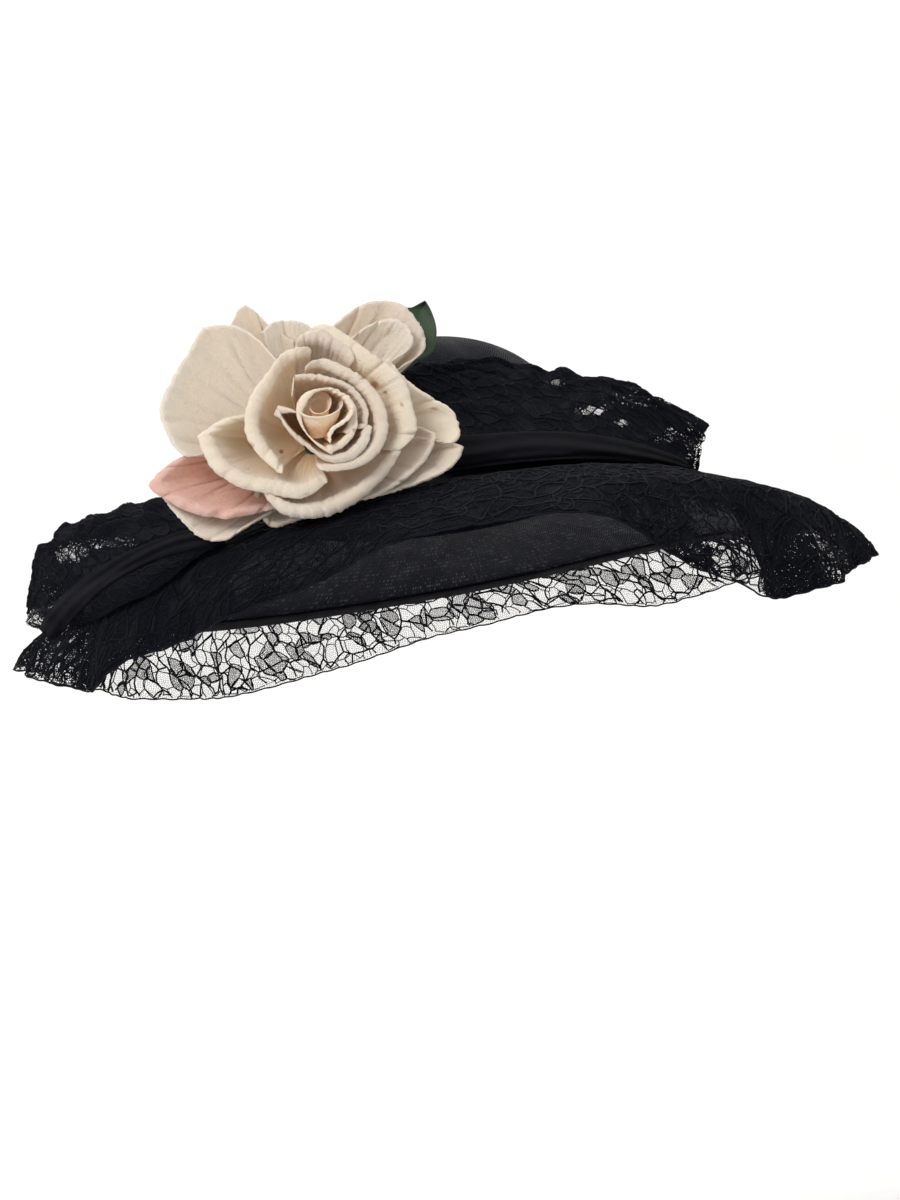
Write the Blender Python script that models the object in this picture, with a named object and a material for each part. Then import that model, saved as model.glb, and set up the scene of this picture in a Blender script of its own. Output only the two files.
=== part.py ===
"""A wide straw hat with a lace flounce, a lace and crepe bow, and a silk rose.

The origin is the centre of the head opening, where the crown meets the brim.
+X is the viewer's right, -Y the front of the hat and +Z up along the crown.
"""
import math

import bmesh
import bpy
from mathutils import Vector
from mathutils.bvhtree import BVHTree

# The straw body, in metres
HEAD_WIDTH = 0.168
HEAD_DEPTH = 0.195
CROWN_HEIGHT = 0.088
CROWN_SQUARENESS = 2.3
STRAW = 0.0015
BRIM_WIDTH = 0.400
BRIM_DEPTH = 0.376
BRIM_DROP = 0.036
BRIM_BEND = 1.4
BINDING_WIDTH = 0.008
RIBBON = 0.0010
CLEARANCE = 0.0003
SOFT_GAP = 0.0006

# The lace flounce
LACE = 0.0011
FLOUNCE_INSET = 0.042
FLOUNCE_REACH = 0.029
FLOUNCE_FALL = 0.060
FLUTES = 18
FLUTE_DEPTH = 0.0045

# The bow: two lace wings with a crepe band along each
WING_RIGHT_HEIGHT = 0.052
WING_LEFT_HEIGHT = 0.038
CREPE = 0.0010
CREPE_WIDTH = 0.013

# The rose
ROSE_AZIMUTH = 229.8
ROSE_HEIGHT = 0.012
ROSE_STAND = 0.84 * (BRIM_DEPTH - HEAD_DEPTH) / 2
ROSE_TILT = 25.0
HUB_RADIUS = 0.006
HUB_FLARE = 0.006
HEART_RADIUS = 0.0105
HEART_HEIGHT = 0.030
PETAL = 0.0011
PETAL_LENGTH = 0.075
LAYER_STEP = 0.0066
LAYER_LIE = 0.0030
LAP = 0.0023
LEAF_DIRECTION = 53.0
LEAF_STALK = 0.038
LEAF_LENGTH = 0.064
LEAF_WIDTH = 0.040

# How finely the faceted solids are cut
TURN_STEPS = 72
CROWN_STEPS = 48
CROWN_ROWS = 7
FALL_ROWS = 4
WING_STEPS = 12
WING_ACROSS = 8
PETAL_ROWS = 6
PETAL_ACROSS = 5
HEART_STEPS = 22
HEART_ROWS = 3

# Height of the straw's edge below the headline, as a share of BRIM_DROP
EDGE = [  # azimuth, drop
    (0, 1.04), (45, 0.48), (90, 0.62), (135, 0.88), (180, 1.05),
    (225, 1.04), (270, 0.95), (300, 0.82), (330, 0.96),
]

# The flounce's hem: how far out past the straw, as a share of FLOUNCE_REACH, and how
# far below the straw's edge, as a share of FLOUNCE_FALL
HEM = [  # azimuth, reach, fall
    (0, 0.70, 0.38), (22, 0.78, 0.46), (42, 0.75, 0.46), (56, 0.75, 0.56), (70, 0.70, 0.36),
    (90, 0.70, 0.38), (112, 0.75, 0.58), (130, 0.80, 0.68), (150, 0.85, 0.56), (172, 0.90, 0.40),
    (194, 0.92, 0.42), (208, 0.92, 0.68), (220, 0.85, 0.90), (228, 0.80, 0.74), (240, 0.85, 0.66),
    (253, 0.90, 0.50), (268, 0.95, 0.27), (282, 0.95, 0.26), (292, 0.90, 0.42), (301, 0.80, 0.82),
    (311, 0.80, 1.02), (322, 0.78, 0.90), (334, 0.76, 0.70), (345, 0.72, 0.46),
]

# A section of a wing: where its front foot, crest and back foot stand, each as an azimuth
# and a share of the way from headline (0) to straw edge (1), and the crest's height above
# the brim as a share of the wing's height
WING_RIGHT = [  # front foot azimuth, out, crest azimuth, out, rise, back azimuth, out
    (273, 0.46, 266, -0.09, 1.00, 264, -0.10),
    (284, 0.48, 284, -0.07, 0.97, 284, -0.09),
    (294, 0.47, 300, -0.05, 0.97, 301, -0.07),
    (303, 0.47, 314, 0.00, 0.92, 317, -0.05),
    (312, 0.49, 327, 0.08, 0.91, 332, 0.02),
    (320, 0.50, 335, 0.24, 0.87, 341, 0.12),
    (327, 0.52, 338, 0.40, 0.76, 345, 0.27),
    (333, 0.54, 341, 0.58, 0.56, 346, 0.47),
]
WING_LEFT = [
    (241, 1.04, 228, 0.72, 0.50, 218, 0.36),
    (233, 1.08, 223, 0.78, 0.70, 215, 0.42),
    (225, 1.11, 215, 0.88, 0.85, 206, 0.55),
    (216, 1.14, 208, 0.98, 0.97, 198, 0.70),
    (209, 1.17, 202, 1.07, 1.00, 192, 0.85),
    (203, 1.20, 198, 1.12, 0.86, 190, 0.98),
    (199, 1.23, 197, 1.20, 0.36, 192, 1.12),
]

# The petals: direction round the rose (0 to the viewer's right, 90 up), half the angle that
# it spans, length as a share of PETAL_LENGTH, the layer that it grows in (0 innermost), how
# far open it stands in degrees from the rose's axis, how far its rim rolls back, how
# pointed it is, and whether one side laps over its neighbour
PETALS = [  # name, direction, half, length, layer, open, roll, point, lap
    ("inner_1", 35, 70, 0.38, 0, 10, 60, 0.0, 1),
    ("inner_2", 155, 70, 0.38, 0, 10, 60, 0.0, 1),
    ("inner_3", 275, 70, 0.38, 0, 10, 60, 0.0, 1),
    ("ring_1", 85, 66, 0.54, 1, 22, 75, 0.0, 1),
    ("ring_2", 205, 66, 0.54, 1, 22, 75, 0.0, 1),
    ("ring_3", 325, 66, 0.54, 1, 22, 75, 0.0, 1),
    ("cup_top", 88, 37, 0.76, 2, 38, 40, 0.0, 1),
    ("cup_left", 165, 39, 0.68, 2, 38, 45, 0.0, 1),
    ("cup_low_left", 232, 38, 0.70, 2, 38, 50, 0.0, 1),
    ("cup_low", 300, 38, 0.70, 2, 38, 50, 0.0, 1),
    ("cup_right", 14, 40, 0.74, 2, 38, 40, 0.05, 1),
    ("wide_left", 142, 33, 1.02, 3, 62, 6, 0.08, 1),
    ("wide_top", 86, 20, 0.88, 3, 58, 12, 0.0, 0),
    ("wide_right", 2, 32, 0.86, 3, 60, 20, 0.05, 0),
    ("wide_low_right", 333, 25, 0.98, 3.6, 64, 20, 0.10, 0),
    ("wide_low_left", 214, 32, 0.72, 3, 54, 20, 0.05, 0),
    ("wide_low", 277, 27, 0.72, 3.4, 54, 20, 0.05, 0),
    ("back_point", 111, 18, 0.98, 4, 70, 0, 0.28, 0),
    ("back_upper_right", 52, 24, 1.14, 3.6, 66, 16, 0.0, 0),
    ("pink_left", 200, 23, 1.06, 3.7, 56, 4, 0.10, 0),
    ("back_low_left", 228, 24, 1.12, 4.3, 58, 8, 0.10, 0),
]


def turning(table, azimuth):
    """Read a table of azimuth rows at any azimuth, on a smooth closed curve."""
    azimuth %= 360.0
    count = len(table)
    after = next((i for i, row in enumerate(table) if row[0] > azimuth), count)
    picks = [table[(after + k) % count] for k in (-2, -1, 0, 1)]
    low = picks[1][0]
    span = (picks[2][0] - low) % 360.0
    t = ((azimuth - low) % 360.0) / span
    return [spline(t, *(row[column] for row in picks)) for column in range(1, len(table[0]))]


def spline(t, p0, p1, p2, p3):
    """Catmull-Rom between p1 and p2."""
    return 0.5 * (2 * p1 + (p2 - p0) * t + (2 * p0 - 5 * p1 + 4 * p2 - p3) * t * t
                  + (3 * p1 - p0 - 3 * p2 + p3) * t * t * t)


def along(table, share):
    """Read every column of a table of sections at a share of its length."""
    place = share * (len(table) - 1)
    i = min(int(place), len(table) - 2)
    rows = [table[max(0, min(len(table) - 1, i + k))] for k in (-1, 0, 1, 2)]
    return [spline(place - i, *(row[column] for row in rows)) for column in range(len(table[0]))]


def smooth(low, high, x):
    """Rise softly from 0 at low to 1 at high."""
    t = max(0.0, min(1.0, (x - low) / (high - low)))
    return t * t * (3 - 2 * t)


def brim_top(azimuth, out):
    """A point on the straw's upper face: out is 0 at the headline and 1 at the edge."""
    angle = math.radians(azimuth)
    across = HEAD_WIDTH / 2 + (BRIM_WIDTH - HEAD_WIDTH) / 2 * out
    deep = HEAD_DEPTH / 2 + (BRIM_DEPTH - HEAD_DEPTH) / 2 * out
    drop = turning(EDGE, azimuth)[0] * BRIM_DROP * max(0.0, out) ** BRIM_BEND
    return Vector((across * math.cos(angle), deep * math.sin(angle), -drop))


def brim_place(x, y):
    """The azimuth and the share outwards of a point seen from above."""
    low, high = -0.9, 2.0
    for _ in range(30):
        out = (low + high) / 2
        across = HEAD_WIDTH / 2 + (BRIM_WIDTH - HEAD_WIDTH) / 2 * out
        deep = HEAD_DEPTH / 2 + (BRIM_DEPTH - HEAD_DEPTH) / 2 * out
        if (x / across) ** 2 + (y / deep) ** 2 > 1:
            low = out
        else:
            high = out
    return math.degrees(math.atan2(y / deep, x / across)), out


def flank():
    """Mean width of the brim, from headline to edge."""
    return (BRIM_WIDTH - HEAD_WIDTH + BRIM_DEPTH - HEAD_DEPTH) / 4


def out_stations():
    """Shares of the way out where the lace starts, the binding starts and the lace falls."""
    lace_start = 1 - FLOUNCE_INSET / flank()
    binding_start = 1 - BINDING_WIDTH / flank()
    fall_start = 1 + (RIBBON + 3 * CLEARANCE) / flank()
    return lace_start, binding_start, fall_start


def lace_lift():
    """How far the flounce's lower face lies above the straw: it passes over the binding."""
    return 3 * CLEARANCE + RIBBON


def rest_height(x, y):
    """Height of whatever lies uppermost on the brim at a place: straw, or lace on it."""
    azimuth, out = brim_place(x, y)
    lace_start = out_stations()[0]
    lace = smooth(lace_start - 0.24, lace_start - 0.09, out) * (lace_lift() + LACE)
    if out < 1:
        return brim_top(azimuth, max(0.0, out)).z + lace
    edge = brim_top(azimuth, 1.0).z
    flutes = FLUTE_DEPTH * smooth(0.97, 1.05, out)
    return edge + (edge - brim_top(azimuth, 0.9).z) * 10 * (out - 1) + lace + flutes


def clear(point, gap):
    """Lift a point off the brim and push it out of the crown, to keep a gap to both."""
    point = Vector(point)
    point.z = max(point.z, rest_height(point.x, point.y) + gap)
    wall = gap + SOFT_GAP
    if 0 < point.z < CROWN_HEIGHT + wall:
        width = HEAD_WIDTH / 2 + wall
        depth = HEAD_DEPTH / 2 + wall
        height = CROWN_HEIGHT + wall
        share = (1 - min(1.0, point.z / height) ** CROWN_SQUARENESS) ** (1 / CROWN_SQUARENESS)
        radius = math.hypot(point.x / width, point.y / depth)
        if 0 < radius < share:
            point.x *= share / radius
            point.y *= share / radius
    return point


def in_front(point, walls, gap):
    """Bring a point forward of the bow's wings, where it would lie behind or in them."""
    start = Vector((point.x, -BRIM_DEPTH, point.z))
    gap += 2 * (CREPE + SOFT_GAP)
    for wall in walls:
        hit = wall.ray_cast(start, Vector((0, 1, 0)))[0]
        if hit is not None and point.y > hit.y - gap:
            point.y = hit.y - gap
    return point


def new_object(name, bm, colour, roughness):
    """Turn a bmesh into a named object with its own material."""
    bmesh.ops.recalc_face_normals(bm, faces=bm.faces)
    mesh = bpy.data.meshes.new(name)
    bm.to_mesh(mesh)
    bm.free()
    mesh.shade_smooth()
    mesh.set_sharp_from_angle(angle=math.radians(50))
    material = bpy.data.materials.new(name)
    material.use_nodes = True
    shader = material.node_tree.nodes["Principled BSDF"]
    shader.inputs["Base Color"].default_value = (*colour, 1.0)
    shader.inputs["Roughness"].default_value = roughness
    shader.inputs["Metallic"].default_value = 0.0
    mesh.materials.append(material)
    piece = bpy.data.objects.new(name, mesh)
    bpy.context.scene.collection.objects.link(piece)
    return piece


def grid_normals(rows, ring):
    """The normal of each point of a grid, from its neighbours; ring closes each row."""
    normals = []
    for i, row in enumerate(rows):
        ahead = rows[min(i + 1, len(rows) - 1)]
        behind = rows[max(i - 1, 0)]
        count = len(row)
        line = []
        for j in range(count):
            left = row[(j - 1) % count] if ring else row[max(j - 1, 0)]
            right = row[(j + 1) % count] if ring else row[min(j + 1, count - 1)]
            line.append((ahead[j] - behind[j]).cross(right - left).normalized())
        normals.append(line)
    return normals


def cloth(name, rows, thickness, colour, roughness, ring=False):
    """A wall of even thickness on one side of a grid of points, closed at its edges."""
    normals = grid_normals(rows, ring)
    bm = bmesh.new()
    near = [[bm.verts.new(p) for p in row] for row in rows]
    far = [[bm.verts.new(p + n * thickness) for p, n in zip(row, line)]
           for row, line in zip(rows, normals)]
    count = len(rows[0])
    steps = count if ring else count - 1
    for i in range(len(rows) - 1):
        for j in range(steps):
            k = (j + 1) % count
            bm.faces.new((near[i][j], near[i][k], near[i + 1][k], near[i + 1][j]))
            bm.faces.new((far[i][j], far[i + 1][j], far[i + 1][k], far[i][k]))
    for i in (0, -1):
        for j in range(steps):
            k = (j + 1) % count
            bm.faces.new((near[i][j], far[i][j], far[i][k], near[i][k]))
    if not ring:
        for j in (0, -1):
            for i in range(len(rows) - 1):
                bm.faces.new((near[i][j], near[i + 1][j], far[i + 1][j], far[i][j]))
    return new_object(name, bm, colour, roughness)


STRAW_COLOUR = (0.012, 0.013, 0.020)
LACE_COLOUR = (0.006, 0.006, 0.009)
CREPE_COLOUR = (0.010, 0.011, 0.018)
CREAM = (0.74, 0.63, 0.50)
PINK = (0.72, 0.40, 0.32)
LEAF_GREEN = (0.030, 0.070, 0.028)


def make_crown():
    """The dome: a superellipsoid shell, open below, standing on the brim's inner edge."""
    bm = bmesh.new()
    skins = []
    for inset in (0.0, STRAW):
        skin = []
        for i in range(CROWN_ROWS):
            angle = math.radians(90) * i / CROWN_ROWS
            high = math.sin(angle) ** (2 / CROWN_SQUARENESS)
            wide = math.cos(angle) ** (2 / CROWN_SQUARENESS)
            line = []
            for j in range(CROWN_STEPS):
                turn = 2 * math.pi * j / CROWN_STEPS
                line.append(bm.verts.new((
                    (HEAD_WIDTH / 2 - inset) * wide * math.cos(turn),
                    (HEAD_DEPTH / 2 - inset) * wide * math.sin(turn),
                    CLEARANCE + (CROWN_HEIGHT - CLEARANCE - inset) * high)))
            skin.append(line)
        skin.append(bm.verts.new((0, 0, CROWN_HEIGHT - inset)))
        skins.append(skin)
    for skin in skins:
        for i in range(CROWN_ROWS - 1):
            for j in range(CROWN_STEPS):
                k = (j + 1) % CROWN_STEPS
                bm.faces.new((skin[i][j], skin[i][k], skin[i + 1][k], skin[i + 1][j]))
        for j in range(CROWN_STEPS):
            bm.faces.new((skin[-2][j], skin[-2][(j + 1) % CROWN_STEPS], skin[-1]))
    for j in range(CROWN_STEPS):
        k = (j + 1) % CROWN_STEPS
        bm.faces.new((skins[0][0][j], skins[1][0][j], skins[1][0][k], skins[0][0][k]))
    return new_object("straw_crown", bm, STRAW_COLOUR, 0.55)


def azimuths():
    return [360.0 * j / TURN_STEPS for j in range(TURN_STEPS)]


def make_brim():
    """The drooping brim, a wall hanging below the surface that brim_top gives."""
    lace_start, binding_start, _ = out_stations()
    outs = [0.0, lace_start / 2, lace_start, binding_start, 1.0]
    rows = [[brim_top(a, out) for a in azimuths()] for out in outs]
    # the inner edge reaches in under the crown's wall
    rows[0] = [Vector((p.x * (1 - STRAW / HEAD_WIDTH * 2), p.y * (1 - STRAW / HEAD_DEPTH * 2), p.z))
               for p in rows[0]]
    return cloth("straw_brim", rows, -STRAW, STRAW_COLOUR, 0.55, ring=True)


def make_binding():
    """A ribbon folded over the straw's edge: a U-shaped section carried round."""
    binding_start = out_stations()[1]
    bm = bmesh.new()
    loops = []
    for azimuth in azimuths():
        start = brim_top(azimuth, binding_start)
        edge = brim_top(azimuth, 1.0)
        outward = (edge - start).normalized()
        up = outward.cross(Vector((-outward.y, outward.x, 0)).normalized())
        up = up if up.z > 0 else -up
        gap = CLEARANCE
        under = STRAW + 2 * gap
        section = [
            start + up * gap, start + up * (gap + RIBBON),
            edge + up * (gap + RIBBON) + outward * (gap + RIBBON),
            edge - up * (under + RIBBON) + outward * (gap + RIBBON),
            start - up * (under + RIBBON), start - up * under,
            edge - up * under + outward * gap, edge + up * gap + outward * gap,
        ]
        loops.append([bm.verts.new(p) for p in section])
    for j, loop in enumerate(loops):
        after = loops[(j + 1) % TURN_STEPS]
        for i in range(len(loop)):
            k = (i + 1) % len(loop)
            bm.faces.new((loop[i], loop[k], after[k], after[i]))
    return new_object("brim_binding", bm, CREPE_COLOUR, 0.6)


def flounce_point(azimuth, share):
    """The lace past the straw's edge: share runs from 0 at the edge to 1 at the hem."""
    reach, fall = turning(HEM, azimuth)
    fall_start = out_stations()[2]
    edge = brim_top(azimuth, fall_start)
    slope = (edge - brim_top(azimuth, 0.9)).normalized()
    edge.z += lace_lift()
    outward = Vector((slope.x, slope.y, 0)).normalized()
    flute = math.sin(math.radians(azimuth) * FLUTES) * FLUTE_DEPTH * smooth(0.1, 1.0, share)
    hem = edge + outward * reach * FLOUNCE_REACH - Vector((0, 0, fall * FLOUNCE_FALL))
    bend = edge + slope * (0.60 * reach * FLOUNCE_REACH)
    point = edge * (1 - share) ** 2 + bend * (2 * share * (1 - share)) + hem * share ** 2
    return point + outward * flute


def make_flounce():
    """The lace ruffle: laid on the straw as far as its edge, then falling in flutes."""
    lift = Vector((0, 0, lace_lift()))
    lace_start, binding_start, fall_start = out_stations()
    outs = (lace_start, binding_start, 1.0, fall_start)
    rows = [[brim_top(a, out) + lift for a in azimuths()] for out in outs]
    for i in range(1, FALL_ROWS + 1):
        rows.append([flounce_point(a, i / FALL_ROWS) for a in azimuths()])
    return cloth("lace_flounce", rows, LACE, LACE_COLOUR, 0.75, ring=True)


def wing_point(table, height, gap, share, across):
    """A point of a bow's wing: across runs from its front foot over the crest to the back."""
    front_az, front_out, crest_az, crest_out, rise, back_az, back_out = along(table, share)
    front = brim_top(front_az, front_out)
    crest = brim_top(crest_az, crest_out) + Vector((0, 0, rise * height))
    back = brim_top(back_az, back_out)
    if back_out < 0:
        back.z = crest.z - 0.10 * height
    front.z = rest_height(front.x, front.y)
    middle = crest * 2 - (front + back) * 0.5
    point = front * (1 - across) ** 2 + middle * (2 * across * (1 - across)) + back * across ** 2
    return clear(point, gap)


def wing_walls(table, height):
    """The wing's outer face as a fine sheet, for what has to stay in front of it."""
    count = 4 * WING_STEPS
    points = [wing_point(table, height, SOFT_GAP + LACE, i / count, j / count)
              for i in range(count + 1) for j in range(count + 1)]
    faces = [(k, k + 1, k + count + 2, k + count + 1)
             for k in range(count * (count + 1)) if k % (count + 1) < count]
    return BVHTree.FromPolygons(points, faces)


def make_wing(side, table, height):
    """A lace loop of the bow, standing on the brim from foot to foot."""
    rows = [[wing_point(table, height, SOFT_GAP, i / WING_STEPS, j / WING_ACROSS)
             for j in range(WING_ACROSS + 1)] for i in range(WING_STEPS + 1)]
    if side == "left":
        rows.reverse()
    return cloth("lace_wing_" + side, rows, LACE, LACE_COLOUR, 0.75)


def make_crepe_band(side, table, height):
    """A strip of crepe laid along the front of a wing, with a soft fold down its middle."""
    rows = []
    for i in range(WING_STEPS + 1):
        share = 0.02 + 0.97 * i / WING_STEPS
        crest = wing_point(table, height, SOFT_GAP, share, 0.5)
        foot = wing_point(table, height, SOFT_GAP, share, 0.0)
        width = min(0.30, CREPE_WIDTH / (2 * (crest - foot).length))
        row = []
        for j in range(4):
            across = 0.05 + width * j / 3
            here = wing_point(table, height, SOFT_GAP, share, across)
            ahead = wing_point(table, height, SOFT_GAP, share + 0.01, across)
            above = wing_point(table, height, SOFT_GAP, share, across + 0.02)
            normal = (ahead - here).cross(above - here).normalized()
            if side == "left":
                normal.negate()
            fold = CREPE * (1.0 if j in (1, 2) else 0.2)
            row.append(here + normal * (LACE + SOFT_GAP + fold))
        rows.append(row)
    if side == "left":
        rows.reverse()
    return cloth("crepe_band_" + side, rows, CREPE, CREPE_COLOUR, 0.6)


def rose_frame():
    """The rose's foot, and its directions: right, up and out towards the viewer."""
    turn = math.radians(ROSE_AZIMUTH)
    share = (1 - (ROSE_HEIGHT / CROWN_HEIGHT) ** CROWN_SQUARENESS) ** (1 / CROWN_SQUARENESS)
    foot = Vector((HEAD_WIDTH / 2 * share * math.cos(turn),
                   HEAD_DEPTH / 2 * share * math.sin(turn) - ROSE_STAND, ROSE_HEIGHT))
    tilt = math.radians(ROSE_TILT)
    out = Vector((0, -math.cos(tilt), math.sin(tilt)))
    right = Vector((1, 0, 0))
    return foot, right, right.cross(-out), out


def rose_point(angle, radius, height):
    """A point round the rose's axis: angle in degrees, 0 to the viewer's right."""
    foot, right, up, out = rose_frame()
    turn = math.radians(angle)
    return foot + (right * math.cos(turn) + up * math.sin(turn)) * radius + out * height


def hub_end():
    """How far back along its axis the hub goes before it rests on the brim."""
    low, high = -0.08, 0.0
    for _ in range(30):
        middle = (low + high) / 2
        ring = [rose_point(a, HUB_RADIUS, middle) for a in range(0, 360, 30)]
        gap = min(p.z - rest_height(p.x, p.y) for p in ring)
        if gap < CLEARANCE:
            low = middle
        else:
            high = middle
    return high


def make_hub():
    """The stem and calyx, a round peg that the petals stand round."""
    bm = bmesh.new()
    heights = [hub_end(), 0.10 * HEART_HEIGHT]
    sides = 12
    rings = [[bm.verts.new(rose_point(360 / sides * j, HUB_RADIUS, h)) for j in range(sides)]
             for h in heights]
    for j in range(sides):
        k = (j + 1) % sides
        bm.faces.new((rings[0][j], rings[0][k], rings[1][k], rings[1][j]))
    bm.faces.new(rings[0])
    bm.faces.new(rings[1])
    return new_object("rose_hub", bm, LEAF_GREEN, 0.8)


def make_heart():
    """The bud: a strip of silk rolled up round the rose's axis, flaring at its rim."""
    turns, steps, rows_up = 1.9, HEART_STEPS, HEART_ROWS
    foot = 0.10 * HEART_HEIGHT + CLEARANCE
    rows = []
    for i in range(rows_up + 1):
        up = i / rows_up
        row = []
        for j in range(steps + 1):
            t = j / steps
            radius = HEART_RADIUS * (0.20 + 0.80 * t) * (0.50 + 0.50 * smooth(0.0, 0.5, up))
            radius += HEART_RADIUS * 0.12 * smooth(0.7, 1.0, up) * t
            rim = HEART_HEIGHT * (0.86 + 0.14 * t + 0.05 * math.sin(t * 14))
            row.append(rose_point(200 + 360 * turns * t, radius, foot + (rim - foot) * up))
        rows.append(row)
    return cloth("rose_heart", rows, PETAL, CREAM, 0.7)


def petal_profile(length, layer, opening, roll):
    """Radius, height and slope at each row of a petal, walked out from the hub."""
    radius = HUB_RADIUS + CLEARANCE + PETAL / 2
    height = -layer * LAYER_STEP
    fine = 8
    points = [(radius, height, 90.0)]
    for i in range(PETAL_ROWS * fine):
        share = (i + 0.5) / (PETAL_ROWS * fine)
        angle = opening + (88 - opening) * math.exp(-share * length / HUB_FLARE)
        angle += roll * smooth(0.74, 1.0, share)
        step = length / (PETAL_ROWS * fine)
        radius += step * math.sin(math.radians(angle))
        height += step * math.cos(math.radians(angle))
        if (i + 1) % fine == 0:
            points.append((radius, height, angle))
    return points


def make_petal(row, walls):
    """A petal: a cupped fan round the rose's axis, resting on the brim where it meets it."""
    name, direction, half, length, layer, opening, roll, point, lap = row
    columns = []
    for j in range(PETAL_ACROSS + 1):
        side = 2 * j / PETAL_ACROSS - 1
        share = 1 - 0.16 * abs(side) ** 2.5 + point * (1 - abs(side)) ** 1.5
        columns.append((side, petal_profile(length * share * PETAL_LENGTH, layer, opening, roll)))
    rows = []
    for i in range(PETAL_ROWS + 1):
        line = []
        for side, profile in columns:
            radius, height, angle = profile[i]
            tilt = math.radians(angle)
            radius += LAP * lap * side * math.cos(tilt)
            height -= LAP * lap * side * math.sin(tilt)
            gap = SOFT_GAP + LAYER_LIE * max(0.0, 4.3 - layer)
            place = rose_point(direction + half * side, radius, height)
            line.append(in_front(clear(place, gap), walls, gap))
        rows.append(line)
    colour = PINK if name.startswith("pink") else CREAM
    return cloth("petal_" + name, rows, PETAL, colour, 0.7)


def make_leaf(walls):
    """The leaf: a narrow stalk from the hub, then a pointed blade behind the petals."""
    rows = []
    count = 9
    for i in range(count + 1):
        share = i / count
        reach = HUB_RADIUS + CLEARANCE + PETAL / 2 + (LEAF_STALK + LEAF_LENGTH) * share
        blade = max(0.0, (reach - LEAF_STALK) / LEAF_LENGTH)
        half = LEAF_WIDTH / 2 * math.sin(math.pi * min(1.0, blade) ** 0.75) + LEAF_WIDTH * 0.04
        line = []
        for j in range(5):
            side = j / 2 - 1
            angle = LEAF_DIRECTION + math.degrees(math.atan2(half * side, reach))
            height = -4.3 * LAYER_STEP + 0.10 * reach - abs(side) * half * 0.25
            place = rose_point(angle, math.hypot(reach, half * side), height)
            line.append(in_front(clear(place, SOFT_GAP), walls, SOFT_GAP + PETAL))
        rows.append(line)
    return cloth("rose_leaf", rows, PETAL, LEAF_GREEN, 0.6)


def make_all():
    for old in list(bpy.data.objects):
        bpy.data.objects.remove(old, do_unlink=True)
    make_crown()
    make_brim()
    make_binding()
    make_flounce()
    walls = []
    for side, table, height in (("right", WING_RIGHT, WING_RIGHT_HEIGHT),
                                ("left", WING_LEFT, WING_LEFT_HEIGHT)):
        make_wing(side, table, height)
        make_crepe_band(side, table, height)
        walls.append(wing_walls(table, height))
    make_hub()
    make_heart()
    for row in PETALS:
        make_petal(row, walls)
    make_leaf(walls)


make_all()
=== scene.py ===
# %% [markdown]
# A wide straw hat wears a lace flounce, a bow of lace and crepe, and a large silk rose.
# Its solids come in first, as a fixed frame in metres. Everything below is a finish for one
# of those solids, or a finer piece that stands in its place.

import math

import bmesh
import bpy
from mathutils import Matrix, Vector, noise
from mathutils.bvhtree import BVHTree


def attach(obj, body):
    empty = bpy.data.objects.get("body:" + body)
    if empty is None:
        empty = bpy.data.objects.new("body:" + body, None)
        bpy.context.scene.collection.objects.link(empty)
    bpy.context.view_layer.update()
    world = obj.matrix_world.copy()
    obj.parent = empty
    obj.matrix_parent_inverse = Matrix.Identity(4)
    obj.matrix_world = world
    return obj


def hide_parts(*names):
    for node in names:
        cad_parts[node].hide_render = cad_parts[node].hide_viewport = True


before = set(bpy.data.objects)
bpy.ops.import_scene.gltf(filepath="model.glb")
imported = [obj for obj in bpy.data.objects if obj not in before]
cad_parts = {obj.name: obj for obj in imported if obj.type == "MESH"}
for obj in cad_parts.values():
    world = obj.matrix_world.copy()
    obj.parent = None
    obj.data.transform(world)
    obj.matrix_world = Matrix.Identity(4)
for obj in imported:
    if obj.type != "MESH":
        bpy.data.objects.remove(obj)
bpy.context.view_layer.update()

# %% [markdown]
# The camera comes early, because the rose's petals are placed as the camera sees them. It
# looks up at the brim from a little below it and is rolled, so that the hat dips to the left.

# %% Camera
LOOK_UP = math.radians(7.5)
ROLL = math.radians(7.5)
DISTANCE = 1.4
PHOTO_SIZE = (900, 1200)
FOCAL_PIXELS = 2608
OPENING_PIXEL = (437, 505)
SENSOR_MM = 36

look = Vector((0, math.cos(LOOK_UP), math.sin(LOOK_UP)))
level = Vector((1, 0, 0))
right = level * math.cos(ROLL) - level.cross(look) * math.sin(ROLL)
up = right.cross(look)
aside = (OPENING_PIXEL[0] - PHOTO_SIZE[0] / 2) / FOCAL_PIXELS * DISTANCE
above = (PHOTO_SIZE[1] / 2 - OPENING_PIXEL[1]) / FOCAL_PIXELS * DISTANCE
eye = -look * DISTANCE - right * aside - up * above

camera = bpy.data.objects.new("camera", bpy.data.cameras.new("camera"))
camera.data.sensor_width = SENSOR_MM
camera.data.lens = FOCAL_PIXELS * SENSOR_MM / PHOTO_SIZE[1]
camera.data.clip_end = 50
camera.matrix_world = Matrix((
    (right.x, up.x, -look.x, eye.x), (right.y, up.y, -look.y, eye.y),
    (right.z, up.z, -look.z, eye.z), (0, 0, 0, 1)))
bpy.context.scene.collection.objects.link(camera)
bpy.context.scene.camera = camera
print("camera at", eye, "lens", round(camera.data.lens, 1), "mm")

# %% [markdown]
# A finished piece is one mesh at the origin. The first helper makes it from rows of points,
# gives it a UV map in metres, so that a weave keeps its real size, and any numbers that vary
# over it as attributes, which a material can read.

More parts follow.
